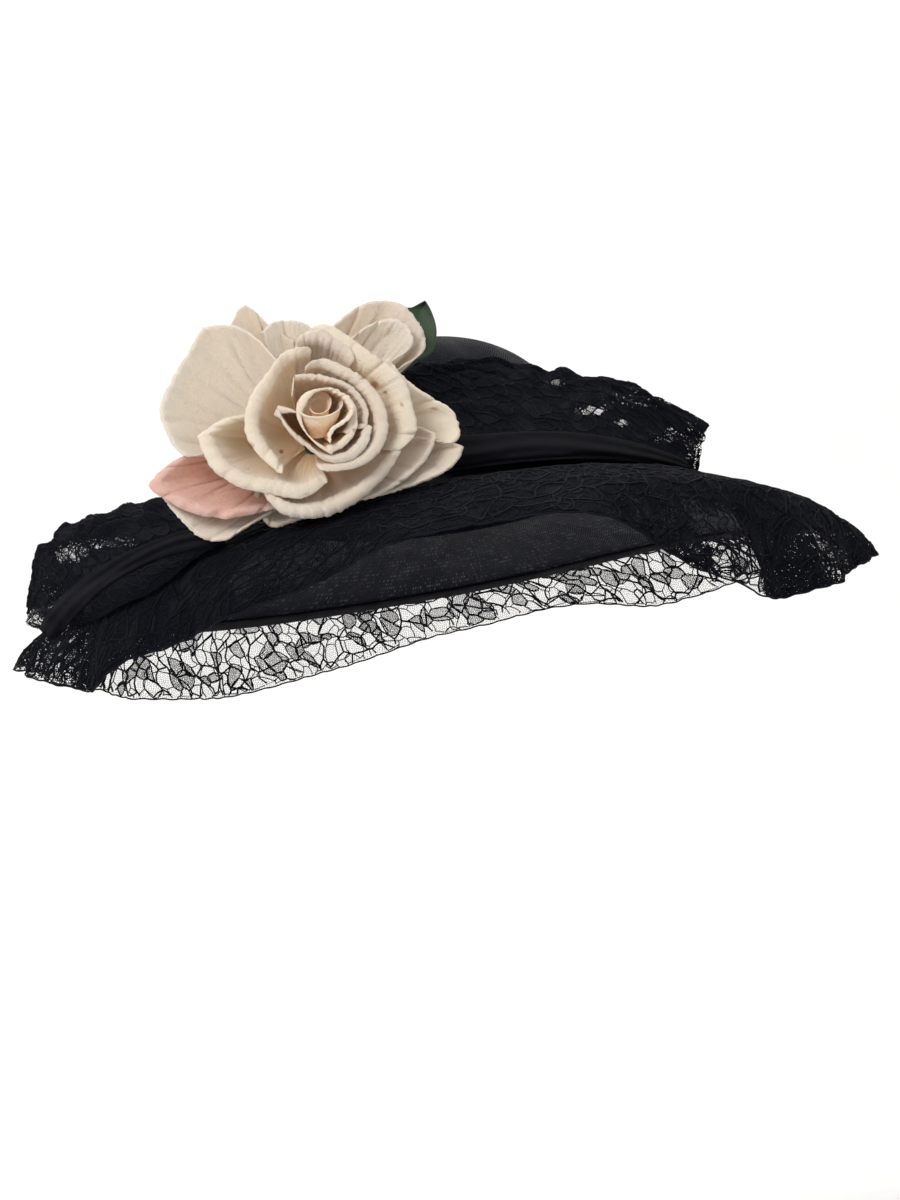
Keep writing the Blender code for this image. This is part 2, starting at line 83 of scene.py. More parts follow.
# %% Mesh helpers
def grid_piece(name, rows, materials, uvs, ring=False, values=None, row_picks=None):
    """A sheet through rows of points. A ring's rows close on themselves, and with a material
    picked for each row the last row meets the first. UVs hold one more than what closes."""
    count = len(rows[0])
    faces, corner_uvs, picks = [], [], []
    for i in range(len(rows) if row_picks else len(rows) - 1):
        below = (i + 1) % len(rows)
        for j in range(count if ring else count - 1):
            k = (j + 1) % count
            faces.append((i * count + j, below * count + j, below * count + k, i * count + k))
            corner_uvs += [*uvs[i][j], *uvs[i + 1][j], *uvs[i + 1][j + 1], *uvs[i][j + 1]]
            picks.append(row_picks[i] if row_picks else 0)
    mesh = bpy.data.meshes.new(name)
    mesh.from_pydata([tuple(p) for row in rows for p in row], [], faces)
    for material in materials:
        mesh.materials.append(material)
    mesh.polygons.foreach_set("material_index", picks)
    mesh.uv_layers.new(name="UVMap").data.foreach_set("uv", corner_uvs)
    for key, lines in (values or {}).items():
        mesh.attributes.new(key, "FLOAT", "POINT").data.foreach_set(
            "value", [x for line in lines for x in line])
    mesh.shade_smooth()
    return place_piece(name, mesh)


def place_piece(name, data):
    piece = bpy.data.objects.new(name, data)
    bpy.context.scene.collection.objects.link(piece)
    return piece


def walk_uvs(rows, ring=False, wide=None):
    """UVs in metres: along the middle row, and down each column by its own length."""
    count = len(rows[0])
    middle = rows[len(rows) // 2]
    across = [0.0]
    for j in range(count if ring else count - 1):
        across.append(across[-1] + (middle[(j + 1) % count] - middle[j]).length)
    if wide:
        across = [x * wide / across[-1] for x in across]
    down = [[0.0] * count]
    for i in range(1, len(rows)):
        down.append([d + (a - b).length for d, a, b in zip(down[-1], rows[i], rows[i - 1])])
    return [[(across[j], line[j % count]) for j in range(len(across))] for line in down]


def wall(piece, thickness):
    """Give a sheet its thickness, half to each side."""
    solid = piece.modifiers.new("wall", "SOLIDIFY")
    solid.thickness = thickness
    solid.offset = 0.0
    return piece


def ready(piece, slot, *nodes):
    """Send a finished piece to its place in the model."""
    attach(piece, "root")
    if nodes:
        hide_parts(*nodes)
    return piece


def smooth(low, high, x):
    """Rise softly from 0 at low to 1 at high."""
    t = max(0.0, min(1.0, (x - low) / (high - low)))
    return t * t * (3 - 2 * t)


def wobble(x, y, z):
    """Smooth chance, about -1 to 1, which is the same on every run."""
    return noise.noise(Vector((x, y, z)))


def mix(a, b, share):
    return a * (1 - share) + b * share


def between(first, second, share):
    return [mix(a, b, share) for a, b in zip(first, second)]


def flipped(lines):
    """Rows from columns."""
    return [list(line) for line in zip(*lines)]


def cut_size(uvs):
    """How large a sheet was cut, which is how far its UVs reach."""
    return [max(uv[k] for line in uvs for uv in line) for k in (0, 1)]


def as_target(piece):
    """A piece that rays can be cast at."""
    mesh = piece.data
    return BVHTree.FromPolygons([v.co for v in mesh.vertices],
                                [list(p.vertices) for p in mesh.polygons])

# %% [markdown]
# Materials are node trees. These helpers keep them short: one adds a node and joins its
# inputs, others do sums with sockets, and one starts a node group, which is an effect with
# named inputs and outputs. Several materials share the small ones.

# %% Node helpers
def add(tree, kind, settings=None, **inputs):
    """Add a node. Each input is a value or a socket; its name has _ for a space, or is iN."""
    node = tree.nodes.new(kind)
    for key, value in (settings or {}).items():
        setattr(node, key, value)
    for key, value in inputs.items():
        numbered = key[0] == "i" and key[1:].isdigit()
        socket = node.inputs[int(key[1:]) if numbered else key.replace("_", " ")]
        if isinstance(value, bpy.types.NodeSocket):
            tree.links.new(value, socket)
        else:
            socket.default_value = value
    return node


def in_order(terms):
    return {"i%d" % i: term for i, term in enumerate(terms)}


def maths(tree, operation, *terms):
    """A Math node's result."""
    return add(tree, "ShaderNodeMath", {"operation": operation}, **in_order(terms)).outputs[0]


def times(tree, *terms):
    return maths(tree, "MULTIPLY", *terms)


def plus(tree, *terms):
    return maths(tree, "ADD", *terms)


def vector_maths(tree, operation, *terms, **named):
    """A Vector Math node's result: a distance is a number, all others here are vectors."""
    node = add(tree, "ShaderNodeVectorMath", {"operation": operation}, **in_order(terms), **named)
    return node.outputs["Value" if operation == "DISTANCE" else "Vector"]


def clouds(tree, **inputs):
    return add(tree, "ShaderNodeTexNoise", **inputs)


def uv_of(tree):
    return add(tree, "ShaderNodeUVMap", {"uv_map": "UVMap"}).outputs[0]


def place_of(tree):
    return add(tree, "ShaderNodeTexCoord").outputs["Object"]


def reading(tree, name):
    """A number that varies over the piece."""
    return add(tree, "ShaderNodeAttribute", {"attribute_name": name}).outputs["Fac"]


def ramp(tree, value, low, high, start=0.0, end=1.0):
    """Carry a value from one range to another, held at both ends."""
    return add(tree, "ShaderNodeMapRange", Value=value, From_Min=low, From_Max=high,
               To_Min=start, To_Max=end).outputs[0]


def blend_colours(tree, share, first, second):
    node = add(tree, "ShaderNodeMix", {"data_type": "RGBA"}, i0=share, i6=first, i7=second)
    return node.outputs[2]


def effect(name, takes, gives, kind="ShaderNodeTree"):
    """Start a node group with named inputs and outputs."""
    tree = bpy.data.node_groups.new(name, kind)
    for label, socket_kind, default in takes:
        socket = tree.interface.new_socket(
            label, in_out="INPUT", socket_type="NodeSocket" + socket_kind)
        if default is not None:
            socket.default_value = default
    for label, socket_kind in gives:
        tree.interface.new_socket(label, in_out="OUTPUT", socket_type="NodeSocket" + socket_kind)
    source = tree.nodes.new("NodeGroupInput").outputs
    sink = tree.nodes.new("NodeGroupOutput").inputs
    return tree, source, sink


def give(tree, sink, **results):
    """Join results to a group's outputs or a shader's inputs, by name."""
    for label, value in results.items():
        tree.links.new(value, sink[label])
    return tree


def place_effect(tree, group, **inputs):
    return add(tree, "ShaderNodeGroup", {"node_tree": group}, **inputs).outputs


def new_material(name, roughness, **constants):
    """A material with its Principled shader, whose constant sockets are set here."""
    material = bpy.data.materials.new(name)
    material.use_nodes = True
    tree = material.node_tree
    shader = tree.nodes["Principled BSDF"]
    shader.inputs["Roughness"].default_value = roughness
    for key, value in constants.items():
        shader.inputs[key.replace("_", " ")].default_value = value
    return material, tree, shader


def paint(tree, shader, colour):
    tree.links.new(colour, shader.inputs["Base Color"])


def bump(tree, shader, height, distance):
    node = add(tree, "ShaderNodeBump", Height=height, Distance=distance)
    tree.links.new(node.outputs[0], shader.inputs["Normal"])

# %% [markdown]
# Straw braid, ribbon and crepe are all woven. The weave group lays crossing threads over the
# UV map: each thread is a rounded ridge, and a twill steps its crossings sideways row by row.

# %% Weave group
def make_weave():
    tree, source, sink = effect(
        "weave",
        [("Vector", "Vector", None), ("Thread", "Float", 0.001), ("Step", "Float", 2.0)],
        [("Height", "Float"), ("Over", "Float")])
    split = add(tree, "ShaderNodeSeparateXYZ", Vector=source["Vector"]).outputs
    column = maths(tree, "DIVIDE", split[0], source["Thread"])
    row = maths(tree, "DIVIDE", split[1], source["Thread"])
    stair = plus(tree, maths(tree, "FLOOR", column), maths(tree, "FLOOR", row))
    turn = maths(tree, "FLOORED_MODULO", stair, times(tree, source["Step"], 2.0))
    over = maths(tree, "LESS_THAN", turn, source["Step"])
    warp = maths(tree, "ABSOLUTE", maths(tree, "SINE", times(tree, column, math.pi)))
    weft = maths(tree, "ABSOLUTE", maths(tree, "SINE", times(tree, row, math.pi)))
    height = add(tree, "ShaderNodeMix", i0=over, i2=weft, i3=warp).outputs[0]
    return give(tree, sink, Height=height, Over=over)


weave = make_weave()

# %% [markdown]
# Silk petals, crepe and lace threads share a fine irregular grain. Old silk has stains, and
# the same patches thin out the gathered lace here and there.

# %% Grain and stain groups
def make_grain():
    tree, source, sink = effect(
        "cloth grain",
        [("Vector", "Vector", None), ("Size", "Float", 0.001), ("Stretch", "Float", 1.0)],
        [("Height", "Float"), ("Tone", "Float")])
    long = add(tree, "ShaderNodeCombineXYZ", X=1.0, Y=source["Stretch"], Z=1.0).outputs[0]
    place = vector_maths(tree, "MULTIPLY", source["Vector"], long)
    scale = maths(tree, "DIVIDE", 1.0, source["Size"])
    fine = clouds(tree, Vector=place, Scale=scale, Detail=3.0,
               Roughness=0.6).outputs[0]
    broad = clouds(tree, Vector=place,
                Scale=times(tree, scale, 0.06), Detail=3.0).outputs[0]
    return give(tree, sink, Height=fine, Tone=broad)


def make_stains():
    tree, source, sink = effect(
        "stains",
        [("Vector", "Vector", None), ("Size", "Float", 0.01), ("Amount", "Float", 0.4)],
        [("Mask", "Float")])
    scale = maths(tree, "DIVIDE", 1.0, source["Size"])
    cloud = clouds(tree, Vector=source["Vector"], Scale=scale,
                Detail=6.0, Roughness=0.65, Distortion=0.6).outputs[0]
    low = maths(tree, "SUBTRACT", 0.80, times(tree, source["Amount"], 0.4))
    return give(tree, sink, Mask=ramp(tree, cloud, low, plus(tree, low, 0.10)))


grain = make_grain()
stains = make_stains()

# %% [markdown]
# The ground of the lace is a net far finer than its figures. It is cut from a thin sheet by
# the Alpha of its material: a Voronoi texture gives the distance to the nearest edge between
# cells, and whatever is nearer than a limit is thread. More cover makes fatter threads.

# %% Net group
def make_net():
    tree, source, sink = effect(
        "net",
        [("Vector", "Vector", None), ("Mesh", "Float", 0.001), ("Cover", "Float", 0.3)],
        [("Alpha", "Float"), ("Height", "Float")])
    scale = maths(tree, "DIVIDE", 1.0, source["Mesh"])
    edge = add(tree, "ShaderNodeTexVoronoi",
               {"feature": "DISTANCE_TO_EDGE", "voronoi_dimensions": "2D"},
               Vector=source["Vector"], Scale=scale, Randomness=0.75).outputs["Distance"]
    alpha = maths(tree, "LESS_THAN", edge, times(tree, source["Cover"], 0.46))
    height = maths(tree, "SUBTRACT", 1.0, ramp(tree, edge, 0.0, 0.3))
    return give(tree, sink, Alpha=alpha, Height=height)


net = make_net()

# %% [markdown]
# The straw is navy black, in a fine plain weave, with a speckled painted highlight on the
# tops of its ridges and paler, worn straws here and there.
# Its underside shows rows of pale straws that run out towards the edge.

# %% Straw materials
STRAW_DARK = (0.0025, 0.0032, 0.0070, 1)
STRAW_RIDGE_GLINT = (0.040, 0.046, 0.080, 1)
STRAW_WORN = (0.20, 0.21, 0.22, 1)
STRAW_THREAD = 0.00095
DASH_WIDTH, DASH_LENGTH = 0.0012, 0.0050


def make_straw(name, worn):
    material, tree, shader = new_material(name, 0.5, Specular_IOR_Level=0.05)
    uv = uv_of(tree)
    cloth = place_effect(tree, weave, Vector=uv, Thread=STRAW_THREAD, Step=1.0)
    speck = place_effect(tree, grain, Vector=uv, Size=0.0013, Stretch=0.6)
    # the weave's ridge tops are painted paler in specks: a painted highlight, broken up by grain
    ridge_top = times(tree, ramp(tree, cloth["Height"], 0.70, 1.0), cloth["Over"])
    pale = times(tree, ridge_top, ramp(tree, speck["Height"], 0.42, 0.70))
    colour = blend_colours(tree, pale, STRAW_DARK, STRAW_RIDGE_GLINT)

    # worn places are short dashes, one straw wide, each lit or not by chance
    dash = add(tree, "ShaderNodeMapping", Vector=uv,
               Scale=(1 / DASH_WIDTH, 1 / DASH_LENGTH, 1)).outputs[0]
    cell = vector_maths(tree, "FLOOR", dash)
    chance = add(tree, "ShaderNodeTexWhiteNoise", {"noise_dimensions": "2D"},
                 Vector=cell).outputs[0]
    inside = vector_maths(tree, "FRACTION", dash)
    off_middle = vector_maths(tree, "DISTANCE", inside, (0.5, 0.5, 0.0))
    patch = place_effect(tree, grain, Vector=uv, Size=0.0010)
    likely = times(tree, ramp(tree, chance, 0.45, 0.98), ramp(tree, patch["Tone"], 0.35, 0.60))
    ridge = times(tree, likely, ramp(tree, off_middle, 0.40, 0.16))
    paint(tree, shader, blend_colours(tree, times(tree, ridge, worn), colour, STRAW_WORN))
    give(tree, shader.inputs, Roughness=ramp(tree, speck["Tone"], 0.3, 0.7, 0.42, 0.62))
    bump(tree, shader, cloth["Height"], 0.0005)
    return material


straw_top = make_straw("straw", 0.04)
straw_under = make_straw("straw underside", 0.50)

# %% [markdown]
# Lace comes in three materials. The ground reads how many layers lie gathered at a place from
# an attribute, because the front of the flounce is nearly solid black and its back is open.
# The filling of some figures is a denser net, and the threads that draw them are plain black
# cotton with a fine grain.

# %% Lace materials
LACE_BLACK = (0.0034, 0.0044, 0.0082, 1)
LACE_GREY = (0.006, 0.0068, 0.0105, 1)
LACE_DUSTY = (0.022, 0.024, 0.032, 1)
NET_MESH = 0.00115
OPEN_COVER = 0.155
FILLED_COVER = 0.31
GATHERED_COVER = 1.05


def make_lace_ground():
    material, tree, shader = new_material("lace ground", 0.8, Specular_IOR_Level=0.05)
    uv = uv_of(tree)
    layers = reading(tree, "layers")
    holes = place_effect(tree, stains, Vector=uv, Size=0.0026, Amount=0.85)
    closed = maths(tree, "SUBTRACT", layers, times(tree, holes["Mask"], 0.7))
    cover = ramp(tree, closed, 0.0, 1.0, OPEN_COVER, GATHERED_COVER)
    mesh = place_effect(tree, net, Vector=uv, Mesh=NET_MESH, Cover=cover)
    give(tree, shader.inputs, Alpha=mesh["Alpha"])
    dust = place_effect(tree, grain, Vector=uv, Size=0.0013)
    tone = times(tree, ramp(tree, dust["Height"], 0.48, 0.72), mesh["Height"])
    paint(tree, shader, blend_colours(tree, tone, LACE_BLACK, LACE_DUSTY))
    bump(tree, shader, mesh["Height"], 0.0004)
    return material


def make_lace_filling():
    material, tree, shader = new_material("lace filling", 0.8, Specular_IOR_Level=0.05)
    uv = uv_of(tree)
    dust = place_effect(tree, grain, Vector=uv, Size=0.004)
    cover = ramp(tree, dust["Tone"], 0.35, 0.65, FILLED_COVER - 0.08, FILLED_COVER + 0.12)
    mesh = place_effect(tree, net, Vector=uv, Mesh=NET_MESH * 0.8, Cover=cover)
    give(tree, shader.inputs, Alpha=mesh["Alpha"])
    paint(tree, shader, blend_colours(tree, dust["Height"], LACE_BLACK, LACE_DUSTY))
    return material


def make_lace_thread():
    material, tree, shader = new_material("lace thread", 0.7, Specular_IOR_Level=0.08)
    dust = place_effect(tree, grain, Vector=place_of(tree), Size=0.0009)
    paint(tree, shader, blend_colours(tree, dust["Height"], LACE_BLACK, LACE_GREY))
    bump(tree, shader, dust["Height"], 0.0002)
    return material


lace_ground = make_lace_ground()
lace_filling = make_lace_filling()
lace_thread = make_lace_thread()

# %% [markdown]
# Crepe and ribbon are dark and matt. Crepe has a crinkled grain and a soft sheen where a fold
# catches the light; the ribbon at the brim's edge is a twill.

# %% Crepe and ribbon materials
CREPE_DARK = (0.0014, 0.0018, 0.0038, 1)
CREPE_PALE = (0.0032, 0.0039, 0.0080, 1)
RIBBON_DARK = (0.003, 0.003, 0.005, 1)
RIBBON_PALE = (0.009, 0.009, 0.012, 1)


def make_dark_cloth(name, thread, step, crinkle, dark, pale):
    material, tree, shader = new_material(name, 0.75, Specular_IOR_Level=0.05, Sheen_Weight=0.02)
    uv = uv_of(tree)
    cloth = place_effect(tree, weave, Vector=uv, Thread=thread, Step=step)
    fuzz = place_effect(tree, grain, Vector=uv, Size=crinkle, Stretch=2.5)
    tone = ramp(tree, fuzz["Tone"], 0.35, 0.65)
    paint(tree, shader, blend_colours(tree, tone, dark, pale))
    height = plus(tree, times(tree, cloth["Height"], 0.4), fuzz["Height"])
    bump(tree, shader, height, 0.0004)
    return material


crepe = make_dark_cloth("crepe", 0.0007, 1.0, 0.0016, CREPE_DARK, CREPE_PALE)
ribbon = make_dark_cloth("ribbon", 0.0009, 3.0, 0.0010, RIBBON_DARK, RIBBON_PALE)

# %% [markdown]
# A silk petal is cream at its rim and warmer towards its throat, which is partly the silk's own
# tint and partly painted warm shade deep in the flower. The attribute "out" runs from 0 at the
# root to 1 at the rim and drives that change; faint veins fan out along the UV map, and old
# stains lie over both.

# %% Petal materials
BROWN = (0.30, 0.16, 0.06, 1)
HONEY = (0.56, 0.38, 0.17, 1)
FELT_CREAM = (0.90, 0.79, 0.67, 1)
VEIN = 0.13
CREAM = (0.78, 0.645, 0.525, 1)
PALE_CREAM = (0.82, 0.72, 0.61, 1)
BUD_CREAM = (0.93, 0.75, 0.57, 1)
AGED_CREAM = (0.86, 0.725, 0.57, 1)
PEACH_AND_SHADE = (0.97, 0.62, 0.40, 1)
AGED_PEACH_AND_SHADE = (0.93, 0.64, 0.36, 1)
ASH_AND_SHADE = (0.62, 0.54, 0.44, 1)
ROSE_PINK = (0.79, 0.43, 0.36, 1)
DEEP_PINK_AND_SHADE = (0.76, 0.36, 0.28, 1)
LEAF_DARK = (0.007, 0.021, 0.009, 1)
LEAF_GREEN = (0.022, 0.064, 0.019, 1)


def make_silk(name, rim, throat, stain_amount, throat_end):
    material, tree, shader = new_material(
        name, 0.85, Sheen_Weight=0.06, Specular_IOR_Level=0.10, Subsurface_Weight=0.3,
        Subsurface_Radius=(1.0, 0.62, 0.42), Subsurface_Scale=0.0035)
    place = place_of(tree)
    out = reading(tree, "out")
    cloth = place_effect(tree, grain, Vector=place, Size=0.0007)
    felt = place_effect(tree, grain, Vector=place, Size=0.0020)
    warp = clouds(tree, Vector=place, Scale=90.0, Detail=2.0).outputs["Color"]
    bent = vector_maths(tree, "MULTIPLY_ADD", warp, (0.006, 0.006, 0.0), uv_of(tree))
    veins = place_effect(tree, grain, Vector=bent, Size=0.0030, Stretch=0.16)

    # the throat colour is partly the silk's tint, partly painted shade where the petal lies deep
    colour = blend_colours(tree, ramp(tree, out, 0.15, throat_end), throat, rim)
    fleck = times(tree, ramp(tree, veins["Height"], 0.45, 0.75), VEIN)
    colour = blend_colours(tree, fleck, colour, throat)
    for size, amount, strength in ((0.022, stain_amount, 0.28), (0.0045, 0.36, 0.4)):
        stain = place_effect(tree, stains, Vector=place, Size=size, Amount=amount)
        colour = blend_colours(tree, times(tree, stain["Mask"], strength), colour, HONEY)
    colour = blend_colours(tree, reading(tree, "spot"), colour, BROWN)
    pale = ramp(tree, felt["Height"], 0.35, 0.65, 0.0, 0.22)
    colour = blend_colours(tree, pale, colour, FELT_CREAM)
    fringe = times(tree, ramp(tree, out, 0.82, 0.96, 0.0, 0.28), ramp(tree, felt["Tone"], 0.3, 0.6))
    paler_rim = (*(mix(c, 0.92, 0.45) for c in rim[:3]), 1)
    paint(tree, shader, blend_colours(tree, fringe, colour, paler_rim))

    height = plus(tree, times(tree, veins["Height"], 0.9), times(tree, cloth["Height"], 0.9))
    bump(tree, shader, plus(tree, height, times(tree, felt["Height"], 0.5)), 0.0009)
    return material


cream_silk = make_silk("cream silk", CREAM, PEACH_AND_SHADE, 0.28, 0.78)
pale_silk = make_silk("pale silk", PALE_CREAM, ASH_AND_SHADE, 0.34, 0.45)
bud_silk = make_silk("bud silk", BUD_CREAM, PEACH_AND_SHADE, 0.18, 0.92)
aged_silk = make_silk("aged silk", AGED_CREAM, AGED_PEACH_AND_SHADE, 0.42, 0.72)
pink_silk = make_silk("pink silk", ROSE_PINK, DEEP_PINK_AND_SHADE, 0.14, 0.95)


def make_leaf_silk():
    material, tree, shader = new_material("leaf silk", 0.5, Sheen_Weight=0.1)
    tone = place_effect(tree, grain, Vector=uv_of(tree), Size=0.0012, Stretch=0.4)
    shade = ramp(tree, tone["Tone"], 0.35, 0.65)
    paint(tree, shader, blend_colours(tree, shade, LEAF_DARK, LEAF_GREEN))
    bump(tree, shader, tone["Height"], 0.0006)
    return material


leaf_silk = make_leaf_silk()

# %% [markdown]
# The soft pieces follow the same rules as their solids, only much finer: the brim droops by a
# table of shares round the hat, read on a smooth closed curve.

# %% The hat's driving sizes
HEAD_WIDTH, HEAD_DEPTH = 0.168, 0.195
CROWN_HEIGHT = 0.088
CROWN_SQUARENESS = 2.3
STRAW = 0.0015
BRIM_WIDTH, BRIM_DEPTH = 0.400, 0.376
BRIM_DROP = 0.036
BRIM_BEND = 1.4
BINDING_WIDTH = 0.008
RIBBON = 0.0010
CLEARANCE = 0.0003

EDGE = [  # azimuth, drop as a share of BRIM_DROP
    (0, 1.04), (45, 0.48), (90, 0.62), (135, 0.88), (180, 1.05),
    (225, 1.04), (270, 0.95), (300, 0.82), (330, 0.96),
]


def spline(t, p0, p1, p2, p3):
    """Catmull-Rom between p1 and p2."""
    return 0.5 * (2 * p1 + (p2 - p0) * t + (2 * p0 - 5 * p1 + 4 * p2 - p3) * t * t
                  + (3 * p1 - p0 - 3 * p2 + p3) * t * t * t)


def turning(table, azimuth):
    """Read a table of azimuth rows at any azimuth, on a smooth closed curve."""
    azimuth %= 360.0
    count = len(table)
    after = next((i for i, row in enumerate(table) if row[0] > azimuth), count)
    picks = [table[(after + k) % count] for k in (-2, -1, 0, 1)]
    t = ((azimuth - picks[1][0]) % 360.0) / ((picks[2][0] - picks[1][0]) % 360.0)
    return [spline(t, *(row[column] for row in picks)) for column in range(1, len(table[0]))]


def along(table, share):
    """Read every column of a table of sections at a share of its length."""
    place = share * (len(table) - 1)
    i = min(int(place), len(table) - 2)
    rows = [table[max(0, min(len(table) - 1, i + k))] for k in (-1, 0, 1, 2)]
    return [spline(place - i, *(row[column] for row in rows)) for column in range(len(table[0]))]


def brim_radii(out):
    """Half the width and depth, where out is 0 at the headline and 1 at the straw's edge."""
    return (HEAD_WIDTH / 2 + (BRIM_WIDTH - HEAD_WIDTH) / 2 * out,
            HEAD_DEPTH / 2 + (BRIM_DEPTH - HEAD_DEPTH) / 2 * out)


def flank():
    """How wide the brim is, from headline to edge."""
    return (BRIM_WIDTH - HEAD_WIDTH + BRIM_DEPTH - HEAD_DEPTH) / 4


def brim_top(azimuth, out):
    """A point on the straw's upper face."""
    angle = math.radians(azimuth)
    across, deep = brim_radii(out)
    drop = turning(EDGE, azimuth)[0] * BRIM_DROP * max(0.0, out) ** BRIM_BEND
    return Vector((across * math.cos(angle), deep * math.sin(angle), -drop))

# %% [markdown]
# The crown is a shallow dome, a superellipsoid turned round the head opening. The brim has
# two skins with different materials. Both are blocked straw, so they stay smooth.

# %% Straw crown and brim
AROUND = 240
TURN = [360.0 * j / AROUND for j in range(AROUND)]
DOME_ROWS = 36
BRIM_ROWS = 26
CROWN_CLOTH, BRIM_CLOTH = 0.50, 0.95  # metres of weave that go once round


def merge_close(piece):
    """Join the points that lie on each other, as at the top of a dome."""
    work = bmesh.new()
    work.from_mesh(piece.data)
    bmesh.ops.remove_doubles(work, verts=work.verts, dist=1e-5)
    work.to_mesh(piece.data)
    work.free()


def make_crown():
    inside = 1 - STRAW / HEAD_WIDTH
    rows = []
    for i in range(DOME_ROWS + 1):
        angle = math.radians(90) * i / DOME_ROWS
        high = math.sin(angle) ** (2 / CROWN_SQUARENESS)
        wide = inside * math.cos(angle) ** (2 / CROWN_SQUARENESS) / 2
        rows.append([Vector((HEAD_WIDTH * wide * math.cos(math.radians(a)),
                             HEAD_DEPTH * wide * math.sin(math.radians(a)),
                             CLEARANCE + (CROWN_HEIGHT - STRAW / 2 - CLEARANCE) * high))
                     for a in TURN])
    rows.insert(0, [Vector((p.x, p.y, -STRAW)) for p in rows[0]])
    rows.reverse()
    uvs = walk_uvs(rows, True, CROWN_CLOTH)
    crown = grid_piece("straw_crown_weave", rows, [straw_top], uvs, True)
    merge_close(crown)
    return ready(wall(crown, STRAW), "straw", "straw_crown")


def brim_skin(lift):
    return [[brim_top(a, i / BRIM_ROWS) + Vector((0, 0, lift)) for a in TURN]
            for i in range(BRIM_ROWS + 1)]


def make_brim():
    """Upper and under skin in one closed ring; the under skin has its own material."""
    top, under = brim_skin(0.0), brim_skin(-STRAW)
    uv_top = walk_uvs(top, True, BRIM_CLOTH)
    uv_under = [[(u, v + 0.3) for u, v in line] for line in walk_uvs(under, True, BRIM_CLOTH)]
    brim = grid_piece("straw_brim_weave", top + under[::-1], [straw_top, straw_under],
                      uv_top + uv_under[::-1] + [uv_top[0]], True,
                      row_picks=[0] * len(top) + [1] * len(under))
    return ready(brim, "straw", "straw_brim")


crown = make_crown()
brim = make_brim()
print("crown faces:", len(crown.data.polygons), "brim faces:", len(brim.data.polygons))

# %% [markdown]
# The straw's raw edge is bound with a folded ribbon: a rounded U carried round the brim.

# %% Brim binding
BEND_STEPS = 6


def make_binding(half):
    """The ribbon, whose middle lies half a fold off the straw's middle."""
    lines = []
    for a in TURN:
        start, edge = (brim_top(a, out) - Vector((0, 0, STRAW / 2))
                       for out in (1 - BINDING_WIDTH / flank(), 1.0))
        outward = (edge - start).normalized()
        side = Vector((-outward.y, outward.x, 0)).normalized()
        rise = outward.cross(side)
        rise = rise if rise.z > 0 else -rise
        line = [start + rise * half, start.lerp(edge, 0.5) + rise * half]
        for k in range(BEND_STEPS + 1):
            turn = math.pi * k / BEND_STEPS
            line.append(edge + rise * half * math.cos(turn) + outward * half * math.sin(turn))
        lines.append(line + [start.lerp(edge, 0.5) - rise * half, start - rise * half])
    rows = flipped(lines)
    binding = grid_piece("binding_ribbon", rows, [ribbon], walk_uvs(rows, True), True)
    return ready(wall(binding, RIBBON), "ribbon", "brim_binding")


half_fold = STRAW / 2 + CLEARANCE + RIBBON / 2
binding = make_binding(half_fold)

# %% [markdown]
# The flounce lies on the straw from a little inside its edge, then falls past it in flutes.
# It is gathered by hand, so small tucks run down it between the flutes, and its hem is cut in
# scallops. The seam is hidden under the bow's left wing.

# %% Lace flounce
LACE = 0.0011
FLOUNCE_INSET = 0.042
FLOUNCE_REACH = 0.029
FLOUNCE_FALL = 0.060
FLUTES = 18
FLUTE_DEPTH = 0.0045
TUCK = 0.0013
SCALLOP = 0.011
SCALLOP_DEPTH = 0.0007
SEAM = 232.0
FLOUNCE_LENGTH = 1.26
FLOUNCE_STEPS = 540
LAID_ROWS = 12
FALL_ROWS = 18

HEM = [  # azimuth, reach and fall as shares of FLOUNCE_REACH and FLOUNCE_FALL
    (0, 0.70, 0.38), (22, 0.78, 0.46), (42, 0.75, 0.46), (56, 0.75, 0.56), (70, 0.70, 0.36),
    (90, 0.70, 0.38), (112, 0.75, 0.58), (130, 0.80, 0.68), (150, 0.85, 0.56), (172, 0.90, 0.40),
    (194, 0.92, 0.42), (208, 0.92, 0.68), (220, 0.85, 0.90), (228, 0.80, 0.74), (240, 0.85, 0.66),
    (253, 0.90, 0.50), (268, 0.95, 0.27), (282, 0.95, 0.26), (292, 0.90, 0.42), (301, 0.80, 0.82),
    (311, 0.80, 1.02), (322, 0.78, 0.90), (334, 0.76, 0.70), (345, 0.72, 0.46),
]
LAYERS = [  # azimuth, how gathered: 0 is one open layer, 1 is folded over itself, more is closed
    (0, 1.6), (14, 0.0), (60, 0.0), (120, 0.0), (162, 0.0), (174, 0.60), (186, 0.64), (204, 0.70),
    (222, 1.55), (240, 1.8), (270, 1.75), (290, 1.9), (314, 1.65), (330, 1.75), (346, 1.6),
]
WINDOWS = [  # azimuth, share of the fall, half sizes, and how far a single layer shows there
    (307, 0.88, 4.5, 0.40, 1.0), (254, 0.66, 11.0, 0.38, 0.72), (200, 0.90, 12.0, 0.30, 0.25),
    (276, 0.25, 9.0, 0.16, 0.40), (299, 0.66, 7.0, 0.36, 0.50), (330, 0.78, 9.0, 0.26, 0.48),
    (345, 0.70, 8.0, 0.30, 0.42),
]


def lace_lift():
    """How high the lace's middle lies over the straw."""
    return 3 * CLEARANCE + RIBBON + LACE / 2


def fall_start():
    """Where the lace leaves the straw, past the ribbon on its edge."""
    return 1 + (RIBBON + 3 * CLEARANCE) / flank()


def curve_point(start, bend, end, share):
    """A point of the curve that leaves start towards bend and ends at end."""
    return start * (1 - share) ** 2 + bend * (2 * share * (1 - share)) + end * share ** 2


def tuck(azimuth, share):
    """Small folds of the gathered lace, which wander and die out towards the straw."""
    wander = wobble(azimuth / 9.0, share * 1.5, 3.0) * 1.6
    fold = math.sin(math.radians(azimuth) * FLUTES * 3.3 + wander * 3)
    depth = 0.6 + wobble(azimuth / 14.0, share, 11.0)
    return TUCK * fold * depth * smooth(0.0, 0.6, share + 0.25)


